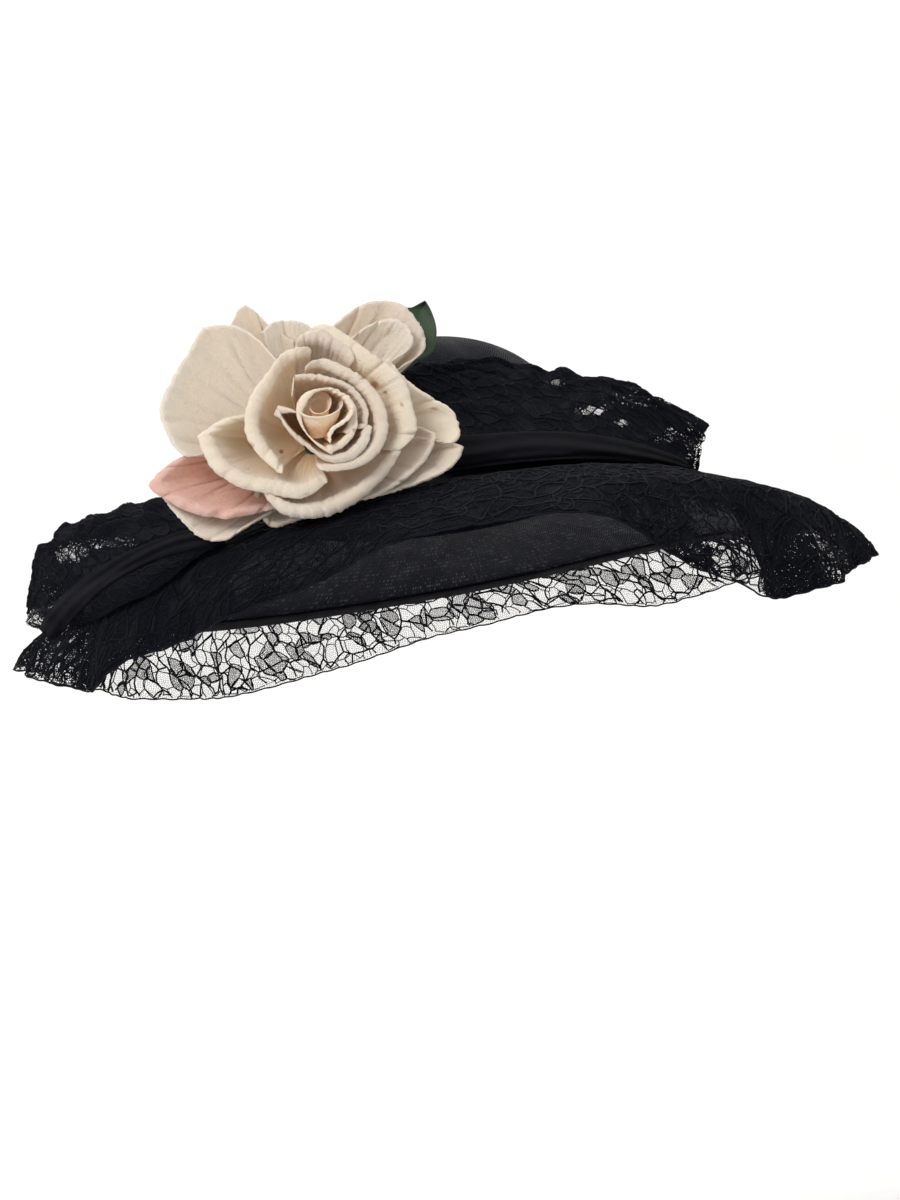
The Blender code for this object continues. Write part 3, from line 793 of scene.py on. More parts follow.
def flounce_point(azimuth, share):
    """The lace past the straw's edge: share runs from 0 at the edge to 1 at the hem."""
    reach, fall = turning(HEM, azimuth)
    edge = brim_top(azimuth, fall_start())
    slope = (edge - brim_top(azimuth, 0.9)).normalized()
    edge.z += lace_lift()
    outward = Vector((slope.x, slope.y, 0)).normalized()
    flute = math.sin(math.radians(azimuth) * FLUTES) * FLUTE_DEPTH * smooth(0.1, 1.0, share)
    scallop = abs(math.sin(math.pi * azimuth / 360 * FLOUNCE_LENGTH / SCALLOP))
    hem = edge + outward * reach * FLOUNCE_REACH - Vector((0, 0, fall * FLOUNCE_FALL))
    hem.z -= SCALLOP_DEPTH * scallop * smooth(0.85, 1.0, share)
    bend = edge + slope * (0.60 * reach * FLOUNCE_REACH)
    return curve_point(edge, bend, hem, share) + outward * (flute + tuck(azimuth, share))


def gathered(azimuth, share):
    """How many layers lie over each other at a place of the flounce."""
    layers = turning(LAYERS, azimuth)[0]
    layers *= 1 + 0.40 * wobble(azimuth / 7.0, share * 2.2, 21.0)
    for centre, middle, wide, tall, most in WINDOWS:
        off = (azimuth - centre + 180) % 360 - 180
        ragged = 0.5 * wobble(azimuth / 2.5, share * 5, centre)
        near = math.hypot(off / wide, (share - middle) / tall) + ragged
        layers *= 1 - most * (1 - smooth(0.7, 1.15, near))
    return layers


def make_flounce():
    around = [SEAM + 360.0 * j / FLOUNCE_STEPS for j in range(FLOUNCE_STEPS)]
    rows = []
    for share in (i / LAID_ROWS for i in range(LAID_ROWS)):
        out = mix(1 - FLOUNCE_INSET / flank(), fall_start(), share)
        line = []
        for a in around:
            ripple = TUCK * 0.5 * (1 + math.sin(math.radians(a) * FLUTES * 5 + 6 * share))
            ripple *= math.sin(math.pi * share) * abs(wobble(a / 11.0, share * 3, 5.0)) * 2
            line.append(brim_top(a, out) + Vector((0, 0, lace_lift() + ripple)))
        rows.append(line)
    rows += [[flounce_point(a, i / FALL_ROWS) for a in around] for i in range(FALL_ROWS + 1)]
    layers = [[gathered(a, (i - LAID_ROWS) / FALL_ROWS) for a in around]
              for i in range(len(rows))]
    uvs = walk_uvs(rows, True, FLOUNCE_LENGTH)
    sheet = grid_piece("flounce_net", rows, [lace_ground], uvs, True, {"layers": layers})
    return sheet, rows[-1], max(v for u, v in uvs[-1])


flounce, hem_line, flounce_drop = make_flounce()
print("flounce faces:", len(flounce.data.polygons), "widest", round(flounce_drop, 3), "m")

# %% [markdown]
# The figures of the lace are cells drawn with a thick thread, some of them filled with a
# denser net. Geometry Nodes lay them over any lace sheet: a jittered grid of triangles in the
# sheet's flat UV space is turned into its dual, which has irregular cells, and every point is
# then carried onto the sheet with Sample UV Surface. The same tree serves flounce and bow.

# %% Lace figure tree
CELL = 0.0068
THREAD = 0.00037
BOLD_CELL = 0.0125
BOLD_THREAD = 0.00062
BOLD_JITTER = 0.46
LINE_LIFT = 0.3  # how far threads stand off the net, against their radius
FILLED = 0.42  # the share of cells that are filled
JITTER = 0.42
OUTLINE = 1.15  # an outline's thickness against a plain thread's


def make_figures():
    numbers = ("Length", "Width", "Cell", "Jitter", "Thread", "Lift", "Filled")
    takes = [("Geometry", "Geometry", None)] + [(label, "Float", None) for label in numbers]
    takes += [("Seed", "Int", None), ("Thread material", "Material", None),
              ("Filling material", "Material", None)]
    tree, source, sink = effect(
        "lace figures", takes, [("Geometry", "Geometry")], "GeometryNodeTree")

    def geo(kind, settings=None, **inputs):
        """A geometry node's first result."""
        return add(tree, "GeometryNode" + kind, settings, **inputs).outputs[0]

    def moved(geometry, **how):
        return geo("SetPosition", Geometry=geometry, **how)

    def coloured(geometry, material):
        return geo("SetMaterial", Geometry=geometry, Material=source[material])

    def onto_sheet(geometry, lift):
        """Carry points from UV space onto the sheet, and drop those that fall off it."""
        kept = add(tree, "GeometryNodeCaptureAttribute", Geometry=geometry)
        kept.capture_items.new("VECTOR", "Flat")
        tree.links.new(geo("InputPosition"), kept.inputs["Flat"])
        uv = geo("InputNamedAttribute", {"data_type": "FLOAT_VECTOR"}, Name="UVMap")
        place, normal = [
            add(tree, "GeometryNodeSampleUVSurface", {"data_type": "FLOAT_VECTOR"},
                Mesh=source["Geometry"], Value=geo(kind), i2=uv, i3=kept.outputs["Flat"]).outputs
            for kind in ("InputPosition", "InputNormal")]
        off = add(tree, "FunctionNodeBooleanMath", {"operation": "NOT"}, i0=place["Is Valid"])
        inside = geo("DeleteGeometry", {"domain": "POINT"}, Geometry=kept.outputs["Geometry"],
                     Selection=off.outputs[0])
        step = vector_maths(tree, "SCALE", normal["Value"], Scale=lift)
        return moved(inside, Position=vector_maths(tree, "ADD", place["Value"], step))

    # a grid of irregular cells in UV space
    grid = geo("MeshGrid", Size_X=source["Length"], Size_Y=source["Width"],
               Vertices_X=maths(tree, "DIVIDE", source["Length"], source["Cell"]),
               Vertices_Y=maths(tree, "DIVIDE", source["Width"], source["Cell"]))
    corner = add(tree, "ShaderNodeCombineXYZ", X=times(tree, source["Length"], 0.5),
                 Y=times(tree, source["Width"], 0.5)).outputs[0]
    wild = add(tree, "FunctionNodeRandomValue", {"data_type": "FLOAT_VECTOR"},
               i0=(-1, -1, 0), i1=(1, 1, 0), Seed=source["Seed"]).outputs[0]
    stir = vector_maths(tree, "SCALE", wild, Scale=times(tree, source["Jitter"], source["Cell"]))
    placed = moved(geo("Triangulate", Mesh=grid), Offset=vector_maths(tree, "ADD", stir, corner))
    cells = geo("DualMesh", Mesh=placed)

    # the threads: every edge of the cells, bent a little, with a round section
    sway = clouds(tree, Detail=0.0,
               Scale=maths(tree, "DIVIDE", 0.8, source["Cell"])).outputs["Color"]
    centred = vector_maths(tree, "SUBTRACT", sway, (0.5, 0.5, 0.5))
    bend = vector_maths(tree, "SCALE", vector_maths(tree, "MULTIPLY", centred, (1, 1, 0)),
                        Scale=times(tree, source["Cell"], 1.5))
    fine = geo("ResampleCurve", Curve=geo("MeshToCurve", Mesh=cells), Count=4)
    laid = onto_sheet(moved(fine, Offset=bend), source["Lift"])
    section = geo("CurvePrimitiveCircle", Resolution=3, Radius=source["Thread"])
    tubes = geo("CurveToMesh", Curve=laid, Profile_Curve=section, Fill_Caps=True)
    threads = coloured(tubes, "Thread material")

    # the fillings: some of the cells, as small flat patches just above the ground
    pick = add(tree, "FunctionNodeRandomValue", {"data_type": "FLOAT"},
               Seed=plus(tree, source["Seed"], 1))
    bare = add(tree, "FunctionNodeCompare", {"operation": "GREATER_THAN"},
               i0=pick.outputs[1], i1=source["Filled"]).outputs[0]
    chosen = geo("DeleteGeometry", {"domain": "FACE"}, Geometry=cells, Selection=bare)
    loose = moved(geo("SplitEdges", Mesh=chosen), Offset=bend)
    mapped = geo("StoreNamedAttribute", {"data_type": "FLOAT2", "domain": "CORNER"},
                 Geometry=loose, Name="UVMap", Value=geo("InputPosition"))
    fillings = coloured(onto_sheet(mapped, times(tree, source["Lift"], 0.5)), "Filling material")

    # each filled cell has its own rounded outline, like a leaf or a petal of the pattern
    loops = geo("CurveSplineType", {"spline_type": "CATMULL_ROM"},
                Curve=geo("MeshToCurve", Mesh=loose))
    rings = onto_sheet(geo("ResampleCurve", Curve=loops, Count=12), source["Lift"])
    cord = geo("CurvePrimitiveCircle", Resolution=3, Radius=times(tree, source["Thread"], OUTLINE))
    outlines = coloured(geo("CurveToMesh", Curve=rings, Profile_Curve=cord), "Thread material")

    both = tree.nodes.new("GeometryNodeJoinGeometry")
    for part in (outlines, threads, fillings):
        tree.links.new(part, both.inputs[0])
    return give(tree, sink, Geometry=geo("RealizeInstances", Geometry=both.outputs[0]))


figures = make_figures()


def lay_figures(name, sheet, length, width, seed, **changes):
    """Run the tree on a copy of a sheet and keep the result as a plain mesh."""
    values = dict(Length=length, Width=width, Seed=seed, Cell=CELL, Jitter=JITTER, Thread=THREAD,
                  Lift=THREAD * LINE_LIFT, Filled=FILLED, Thread_material=lace_thread,
                  Filling_material=lace_filling)
    values.update(changes)
    work = place_piece(name + "_work", sheet.data)
    modifier = work.modifiers.new("figures", "NODES")
    modifier.node_group = figures
    for item in figures.interface.items_tree:
        key = item.name.replace(" ", "_")
        if item.in_out == "INPUT" and key in values:
            modifier[item.identifier] = values[key]
    graph = bpy.context.evaluated_depsgraph_get()
    mesh = bpy.data.meshes.new_from_object(work.evaluated_get(graph))
    bpy.data.objects.remove(work)
    mesh.name = name
    mesh.shade_smooth()
    print(name, "triangles:", sum(len(p.vertices) - 2 for p in mesh.polygons))
    return ready(place_piece(name, mesh), "lace")

# %% [markdown]
# The flounce gets its figures, and a cord sewn along its scalloped hem.

# %% Flounce figures and hem
def tube(name, path, radius, sides, material, closed=False):
    """A round cord along a path of points."""
    rows = []
    count = len(path)
    for i, point in enumerate(path):
        ahead = path[(i + 1) % count] if closed else path[min(i + 1, count - 1)]
        behind = path[i - 1] if closed or i else path[0]
        along_it = (ahead - behind).normalized()
        side = along_it.cross(Vector((0, 0, 1))).normalized()
        rise = side.cross(along_it)
        rows.append([point + (side * math.cos(t) + rise * math.sin(t)) * radius
                     for t in (math.tau * k / sides for k in range(sides))])
    if closed:
        rows.append(rows[0])
    uvs = [[(k * radius, i * 0.002) for k in range(sides + 1)] for i in range(len(rows))]
    return grid_piece(name, rows, [material], uvs, True)


flounce_figures = lay_figures("flounce_figures", flounce, FLOUNCE_LENGTH, flounce_drop, 5)
flounce_bold = lay_figures(
    "flounce_bold_figures", flounce, FLOUNCE_LENGTH, flounce_drop, 77, Cell=BOLD_CELL,
    Jitter=BOLD_JITTER, Thread=BOLD_THREAD, Lift=THREAD * 0.6, Filled=0.0)
hem_path = [p + Vector((0, 0, -THREAD)) for p in hem_line]
flounce_hem = ready(tube("flounce_hem", hem_path, THREAD * 1.3, 5, lace_thread, True), "lace")
ready(flounce, "lace", "lace_flounce")

# %% [markdown]
# The bow has two wings, each a loop of gathered lace that stands on the brim from its front
# foot over a crest to its back foot. A table gives those three places at sections along the
# wing. What rests on the brim is lifted off it, and what leans on the crown is pushed clear.

# %% Bow shape
SOFT_GAP = 0.0006
CREPE = 0.0008
CREPE_WIDTH = 0.013
BISECTIONS = 22
LACE_RISE = (0.24, 0.09)  # how far inside the lace's edge the cloth over it starts to climb
AHEAD, ABOVE = 0.01, 0.02  # the steps along and over a wing that give its slope
PLEAT = 0.0024

WINGS = {  # height, then sections: front azimuth and out, crest azimuth, out and rise, back both
    "right": (0.052, [
        (273, 0.46, 266, -0.09, 1.00, 264, -0.10), (284, 0.48, 284, -0.07, 0.97, 284, -0.09),
        (294, 0.47, 300, -0.05, 0.97, 301, -0.07), (303, 0.47, 314, 0.00, 0.92, 317, -0.05),
        (312, 0.49, 327, 0.08, 0.91, 332, 0.02), (320, 0.50, 335, 0.24, 0.87, 341, 0.12),
        (327, 0.52, 338, 0.40, 0.76, 345, 0.27), (333, 0.54, 341, 0.58, 0.56, 346, 0.47)]),
    "left": (0.038, [
        (241, 1.04, 228, 0.72, 0.50, 218, 0.36), (233, 1.08, 223, 0.78, 0.70, 215, 0.42),
        (225, 1.11, 215, 0.88, 0.85, 206, 0.55), (216, 1.14, 208, 0.98, 0.97, 198, 0.70),
        (209, 1.17, 202, 1.07, 1.00, 192, 0.85), (203, 1.20, 198, 1.12, 0.86, 190, 0.98),
        (199, 1.23, 197, 1.20, 0.36, 192, 1.12)]),
}


def brim_place(x, y):
    """The azimuth and the share outwards of a point seen from above."""
    low, high = -0.9, 2.0
    for _ in range(BISECTIONS):
        out = (low + high) / 2
        across, deep = brim_radii(out)
        if (x / across) ** 2 + (y / deep) ** 2 > 1:
            low = out
        else:
            high = out
    return math.degrees(math.atan2(y / deep, x / across)), out


def rest_height(x, y):
    """Height of whatever lies uppermost on the brim at a place: straw, or lace on it."""
    azimuth, out = brim_place(x, y)
    lace_start = 1 - FLOUNCE_INSET / flank()
    under = smooth(*(lace_start - inside for inside in LACE_RISE), out)
    lace = under * (lace_lift() + LACE / 2)
    if out < 1:
        return brim_top(azimuth, max(0.0, out)).z + lace
    edge = brim_top(azimuth, 1.0).z
    flutes = FLUTE_DEPTH * smooth(0.97, 1.05, out)
    return edge + (edge - brim_top(azimuth, 0.9).z) * 10 * (out - 1) + lace + flutes


def clear(point, gap):
    """Lift a point off the brim and push it out of the crown, to keep a gap to both."""
    point = Vector(point)
    point.z = max(point.z, rest_height(point.x, point.y) + gap)
    wall_gap = gap + SOFT_GAP
    if 0 < point.z < CROWN_HEIGHT + wall_gap:
        width = HEAD_WIDTH / 2 + wall_gap
        depth = HEAD_DEPTH / 2 + wall_gap
        height = CROWN_HEIGHT + wall_gap
        share = (1 - min(1.0, point.z / height) ** CROWN_SQUARENESS) ** (1 / CROWN_SQUARENESS)
        radius = math.hypot(point.x / width, point.y / depth)
        if 0 < radius < share:
            point.x *= share / radius
            point.y *= share / radius
    return point


def wing_point(side, gap, share, across):
    """A point of a wing: across runs from its front foot over the crest to the back."""
    height, table = WINGS[side]
    front_az, front_out, crest_az, crest_out, rise, back_az, back_out = along(table, share)
    front = brim_top(front_az, front_out)
    crest = brim_top(crest_az, crest_out) + Vector((0, 0, rise * height))
    back = brim_top(back_az, back_out)
    leaning = 1 - smooth(-0.06, 0.03, back_out)
    back.z = mix(back.z, crest.z - 0.10 * height, leaning)
    front.z = rest_height(front.x, front.y)
    return clear(curve_point(front, crest * 2 - (front + back) * 0.5, back, across), gap)


def wing_lifted(side, share, across, lift):
    """A point held off the wing along its outward normal."""
    here, ahead, above = (
        wing_point(side, SOFT_GAP + LACE / 2, s, a)
        for s, a in ((share, across), (share + AHEAD, across), (share, across + ABOVE)))
    sense = 1 if side == "right" else -1
    return here + (ahead - here).cross(above - here).normalized() * (lift * sense)


def band_share(side, share):
    """How much of the wing's width its crepe band covers at a section."""
    crest = wing_point(side, SOFT_GAP, share, 0.5)
    foot = wing_point(side, SOFT_GAP, share, 0.0)
    return min(0.30, CREPE_WIDTH / (2 * (crest - foot).length))

# %% [markdown]
# Gathering leaves pleats along each wing, which wander and fade. They start behind the crepe
# band, and beyond it the wing's crest is crumpled. Here and there the lace lies in a single
# layer and the light comes through it.

# %% Wings of lace
WING_ALONG, WING_OVER, SKIRT_ROWS = 84, 56, 12
WING_LAYERS = 1.9
THIN_SPOTS = [  # photo pixels across and down, half sizes, and how far the lace is one layer
    (590, 411, 19, 6, 1.0), (623, 423, 9, 4, 0.95), (672, 436, 22, 9, 0.66),
    (553, 383, 12, 4, 0.9), (72, 553, 20, 12, 0.72), (112, 543, 34, 6, 0.68),
    (80, 622, 28, 20, 0.56), (32, 622, 16, 14, 0.6), (694, 440, 12, 26, 0.60),
    (640, 398, 44, 11, 0.56), (52, 590, 12, 22, 0.55),
]
PLEATS = math.tau * 6.5
FRILL = 0.020
CRUMPLE = 0.0050
SKIRT_DROP = 0.55
SKIRT_GAP = 0.0032


def seen(point):
    """Where the camera sees a point, in photo pixels."""
    away = point - eye
    depth = away.dot(look)
    return (PHOTO_SIZE[0] / 2 + FOCAL_PIXELS * away.dot(right) / depth,
            PHOTO_SIZE[1] / 2 - FOCAL_PIXELS * away.dot(up) / depth)


def pixel_ray(x, y):
    """The direction from the camera through a photo pixel."""
    return (look + right * ((x - PHOTO_SIZE[0] / 2) / FOCAL_PIXELS)
            + up * ((PHOTO_SIZE[1] / 2 - y) / FOCAL_PIXELS)).normalized()


def left_skirt(share, t):
    """The left wing's loose front edge, which hangs from its foot over the flounce."""
    azimuth = along(WINGS["left"][1], share)[0]
    foot = wing_point("left", SOFT_GAP + LACE / 2, share, 0.0)
    hem = flounce_point(azimuth + 3, SKIRT_DROP)
    outward = Vector((hem.x, hem.y, 0)).normalized()
    hem += outward * SKIRT_GAP
    bulge = outward * (0.004 * math.sin(math.pi * t)) * smooth(0, 0.3, share)
    return foot.lerp(hem, t * mix(0.12, 1.0, smooth(0.0, 0.35, share))) + bulge


def pleat(share, across, start, seed):
    wander = wobble(share * 3.2, across * 2.0, seed) * 0.16
    wave = math.sin((across + wander) * PLEATS)
    wave += 0.6 * math.sin((across * 1.7 + wander * 2) * PLEATS + share * 5)
    depth = 0.55 + 0.9 * wobble(share * 6, across * 4, seed + 9)
    return PLEAT * 0.8 * (1 + 0.6 * wave) * depth * smooth(start, start + 0.16, across)


def thinness(point, seed):
    """How far the lace lies in one layer at a point, by where the camera sees it."""
    x, y = seen(point)
    ragged = 0.5 * wobble(x / 7.0, y / 5.0, seed)
    return max(most * (1 - smooth(0.7, 1.3, ragged + math.hypot((x - cx) / rx, (y - cy) / ry)))
               for cx, cy, rx, ry, most in THIN_SPOTS)


def make_wing(side, seed):
    rows = []
    for i in range(WING_ALONG + 1):
        share = i / WING_ALONG
        band = 0.05 + band_share(side, share)
        row = []
        for j in range(WING_OVER + 1):
            across = j / WING_OVER
            torn = FRILL * wobble(across * 16, seed, 0.3) * smooth(0.85, 1.0, share)
            lift = max(0.0, pleat(share, across, band - 0.02, seed))
            crumple = wobble(share * 15, across * 5, seed + 4) + 0.1
            lift += CRUMPLE * max(0.0, crumple) * smooth(band, band + 0.2, across)
            row.append(wing_lifted(side, share + torn, across, lift))
        if side == "left":
            row = [left_skirt(share, k / SKIRT_ROWS) for k in range(SKIRT_ROWS, 0, -1)] + row
        rows.append(row)
    if side == "left":
        rows.reverse()
    layers = [[WING_LAYERS * (1.0 - thinness(point, seed)) for point in row] for row in rows]
    uvs = walk_uvs(rows)
    wing = grid_piece("bow_net_" + side, rows, [lace_ground], uvs, values={"layers": layers})
    size = cut_size(uvs)
    print("wing", side, "cut about", [round(x, 3) for x in size], "m")
    threads = lay_figures("bow_figures_" + side, wing, *size, seed)
    ready(wing, "lace", "lace_wing_" + side)
    return wing


wings = {"right": make_wing("right", 21), "left": make_wing("left", 34)}

# %% [markdown]
# A strip of crepe runs along the front of each wing, turned over itself into soft folds. Its
# two edges are drawn as the camera sees them and carried onto the lace behind them.

# %% Crepe bands
BAND_ALONG, BAND_OVER = 110, 24
BAND_LIFT = 0.0016
SMOOTHINGS = 14
BAND_EDGES = {  # upper and lower edge in photo pixels, from the rose to the far end
    "right": ([(440, 437), (480, 435), (533, 432), (584, 434), (635, 443), (672, 455), (694, 466)],
              [(440, 474), (480, 468), (543, 463), (604, 462), (645, 465), (672, 470), (692, 474)]),
    "left": ([(215, 526), (190, 530), (158, 540), (108, 562), (69, 590), (47, 614), (40, 629)],
             [(222, 545), (196, 549), (152, 562), (111, 584), (82, 609), (62, 632), (54, 645)]),
}


def rim_curve(rim, count):
    """Points evenly along a smooth open curve, and the curve's length."""
    fine = [along(rim, i / (count * 4)) for i in range(count * 4 + 1)]
    lengths = [0.0]
    for a, b in zip(fine, fine[1:]):
        lengths.append(lengths[-1] + math.dist(a, b))
    points = []
    k = 0
    for j in range(count + 1):
        goal = lengths[-1] * j / count
        while k < len(fine) - 2 and lengths[k + 1] < goal:
            k += 1
        t = (goal - lengths[k]) / max(1e-9, lengths[k + 1] - lengths[k])
        points.append(between(fine[k], fine[k + 1], t))
    return points, lengths[-1]


def smooth_depths(depths):
    """Fill gaps in a field of depths from its neighbours, and even out its steps."""
    known = [d for line in depths for d in line if d is not None]
    last = sum(known) / len(known)
    for line in depths:
        for j, value in enumerate(line):
            last = last if value is None else value
            line[j] = last
    for _ in range(SMOOTHINGS):
        depths = [[(depths[max(0, i - 1)][j] + depths[min(len(depths) - 1, i + 1)][j]
                    + line[max(0, j - 1)] + line[min(len(line) - 1, j + 1)] + 2 * line[j]) / 6
                   for j in range(len(line))] for i, line in enumerate(depths)]
    return depths


def make_band(side, seed):
    carrier = as_target(wings[side])
    upper, lower = (rim_curve(edge, BAND_ALONG)[0] for edge in BAND_EDGES[side])
    rays = [[pixel_ray(*between(low, high, j / BAND_OVER)) for j in range(BAND_OVER + 1)]
            for low, high in zip(lower, upper)]
    depths = smooth_depths([[carrier.ray_cast(eye, ray)[3] for ray in line] for line in rays])
    rows = []
    for i in range(BAND_ALONG + 1):
        share = i / BAND_ALONG
        wander = wobble(share * 2.6, 0.4, seed) * 0.5
        row = []
        for j in range(BAND_OVER + 1):
            t = j / BAND_OVER
            fold = 0.5 + 0.5 * math.sin(math.tau * (2.2 * t + wander + 0.35 * share))
            swell = math.sin(math.pi * t) ** 0.6 * (0.0012 + 0.0018 * fold)
            row.append(eye + rays[i][j] * (depths[i][j] - BAND_LIFT - swell))
        rows.append(row)
    if side == "left":
        rows.reverse()
    uvs = walk_uvs(rows)
    band = grid_piece("crepe_fold_" + side, rows, [crepe], uvs)
    ready(wall(band, CREPE), "crepe", "crepe_band_" + side)
    return band


bands = {"right": make_band("right", 3.3), "left": make_band("left", 8.6)}

# %% [markdown]
# The rose is silk: a rolled bud, then petals that open wider and wider. Each petal is drawn as
# its rim is seen from the front, in millimetres right and up of the bud, with how far behind
# the bud that rim lies. From the stem a smooth sheet rises to the rim and rolls over it.

# %% Rose petal maker
ROSE_CENTRE = Vector((-0.0540, -0.1773, 0.0247))
ROSE_LEAN = 0.60
STEM_DOWN, STEM_BACK = 0.53, 1.17
SILK = 0.0006
PETAL_ALONG, PETAL_UP, CURL_ROWS = 80, 26, 10
STAND_OFF = 0.0022
FRAY = 0.7
CREASE, CREASE_WIDTH = 0.9, 0.16
FOOT_WIDTH = 5.0
NODES = {"bud_wrap_upper": "inner_1", "bud_wrap_lower": "inner_2", "bud_wrap_inner": "inner_3",
         "ring_upper": "ring_1", "ring_front": "ring_2", "ring_right": "ring_3"}
NODELESS = {"back_upper_flap"}  # the inner fold of a petal that has its node already
SPOTS = [(375, 385, 4.5), (362, 378, 2.5), (435, 409, 3.0), (386, 392, 2.0), (316, 320, 2.0),
         (252, 446, 3.0), (281, 452, 2.4), (354, 430, 2.0), (307, 494, 1.8), (402, 405, 2.2)]

hat_walls = [as_target(piece)
             for piece in (flounce, *wings.values(), *bands.values(), crown, brim)]


def face(x, y, behind):
    """A point by where the camera sees it: mm right and up of the bud, and mm behind it."""
    start = ROSE_CENTRE + right * (x / 1000) + up * (y / 1000)
    depth = (start - eye).dot(look)
    return eye + (start - eye) * ((depth + (behind + ROSE_LEAN * y) / 1000) / depth)


def in_front(point, gap):
    """Bring a point towards the camera, where hat cloth would cover it."""
    ray = (point - eye).normalized()
    reach = (point - eye).length
    for cloth_wall in hat_walls:
        hit = cloth_wall.ray_cast(eye, ray)[3]
        if hit is not None and hit - gap < reach:
            reach = hit - gap
    return eye + ray * reach


def make_petal(name, finish, behind, stem, cup, roll, turn, ruffle, rim, seed):
    """One petal, in mm and degrees: its rim has the radius roll and rolls over by turn."""
    edge, wide = rim_curve(rim, PETAL_ALONG)
    base = (0.0, -STEM_DOWN * stem, STEM_BACK * stem)
    lines, uvs, outs, spots = [], [], [], []
    for j, (x, y) in enumerate(edge):
        side = j / PETAL_ALONG
        away = Vector((x - base[0], y - base[1]))
        reach = away.length
        away.normalize()
        frayed = FRAY * wobble(side * wide * 0.6, seed * 2.3, 1.0)
        tuck_in = min(roll * math.sin(math.radians(min(turn, 90))) + frayed, reach * 0.5)
        wave = wobble(side * 3.1, seed * 1.7, 2.0)
        wave += 0.5 * wobble(side * 7.3, seed * 1.7, 8.0)
        goal = (x - away.x * tuck_in, y - away.y * tuck_in, behind + ruffle * wave)
        full = 0.45 * cup
        middle = (mix(base[0], goal[0], 0.5 + full), mix(base[1], goal[1], 0.5 + full),
                  mix(base[2], goal[2], 0.5 - full))
        foot = (base[0] + (side - 0.5) * FOOT_WIDTH, base[1], base[2])

        # from the stem up to the rim, with a few creases
        line = []
        for i in range(PETAL_UP + 1):
            t = i / PETAL_UP
            ripple = ruffle * 0.35 * t * t * wobble(side * 5, t * 2, seed * 3.1)
            crease = abs(wobble(side * wide / 13, t * 1.2, seed * 5.7))
            crease = max(0.0, CREASE_WIDTH - crease) / CREASE_WIDTH
            ripple += CREASE * (0.5 + behind / 20) * crease * smooth(0.1, 0.5, t)
            px, py, pz = (curve_point(*ends, t) for ends in zip(foot, middle, goal))
            line.append(face(px, py, pz + ripple))

        # over the rim, away from the camera
        ahead = (line[-1] - line[-2]).normalized()
        outside = look - ahead * look.dot(ahead)
        outside.normalize()
        hub = line[-1] + outside * (roll / 1000)
        fade = math.sin(math.pi * side) ** 0.35
        for k in range(1, CURL_ROWS + 1):
            bend = math.radians(turn) * k / CURL_ROWS * (0.35 + 0.65 * fade)
            tight = roll / 1000 * (1 - 0.25 * k / CURL_ROWS)
            line.append(hub + (ahead * math.sin(bend) - outside * math.cos(bend)) * tight)

        line = [in_front(p, STAND_OFF) for p in line]
        travelled = [0.0]
        for a, b in zip(line, line[1:]):
            travelled.append(travelled[-1] + (b - a).length)
        lines.append(line)
        uvs.append([(side * wide / 1000 + seed * 0.031, v) for v in travelled])
        outs.append([v / travelled[-1] for v in travelled])
        spots.append([max(1 - smooth(0.5, 1.2, math.dist(seen(p), spot[:2]) / spot[2])
                          for spot in SPOTS) for p in line])
    petal = grid_piece(name, flipped(lines), [finish], flipped(uvs),
                       values={"out": flipped(outs), "spot": flipped(spots)})
    nodes = [] if name in NODELESS else ["petal_" + NODES.get(name, name)]
    slot = "pink_silk" if finish == pink_silk else "cream_silk"
    return ready(wall(petal, SILK), slot, *nodes)

# %% [markdown]
# The bud is one strip rolled round itself, flaring a little at its rim, and peach inside: partly
# its tint, partly painted shade within the roll.

# %% Rose bud
BUD_TURNS, BUD_STEPS, BUD_ROWS = 1.7, 140, 26
BUD_TILT = math.radians(50)
BUD_HEIGHT = 17.0
BUD_X, BUD_Y, BUD_BEHIND = 5.4, 1.5, 3.0
BUD_CORE, BUD_RADIUS = 2.4, 9.4
BUD_START = 170


def make_bud():
    rows, uvs, outs = [], [], []
    for i in range(BUD_ROWS + 1):
        high = i / BUD_ROWS
        row, uv, out = [], [], []
        for j in range(BUD_STEPS + 1):
            t = j / BUD_STEPS * mix(1.0, 0.93, high)
            angle = math.radians(BUD_START + 360 * BUD_TURNS * t)
            radius = mix(BUD_CORE, BUD_RADIUS, smooth(0.0, 0.75, t))
            radius *= mix(0.66, 1.0, smooth(0.0, 0.8, high))
            radius += 1.3 * smooth(0.80, 1.0, high) + 1.2 * smooth(0.85, 1.0, t)
            down = BUD_HEIGHT * (1 - high) + 2.5 * (1 - smooth(0.0, 0.45, t))
            down += 0.9 * math.sin(angle * 1.5)
            across, back = radius * math.cos(angle), radius * math.sin(angle)
            row.append(face(BUD_X + across - 1.5 * (1 - t),
                            BUD_Y + back * math.cos(BUD_TILT) - down * math.sin(BUD_TILT),
                            BUD_BEHIND + back * math.sin(BUD_TILT) + down * math.cos(BUD_TILT)))
            uv.append((t * 0.09, high * 0.02))
            # low out on the inner turns and near the root gives the throat colour: partly painted
            # shade
            out.append(mix(0.15, 1.0, high) * mix(0.55, 1.0, smooth(0.3, 0.7, t)))
        rows.append(row)
        uvs.append(uv)
        outs.append(out)
    bud = grid_piece("rose_bud", rows, [bud_silk], uvs, values={"out": outs})
    ready(wall(bud, SILK), "cream_silk", "rose_heart")


make_bud()

# %% [markdown]
# The petals follow, from the bud outwards. The inner ones stand up round it like cups, the
# next rings roll outwards at the rim, and the outermost lie open, ruffled and aged.

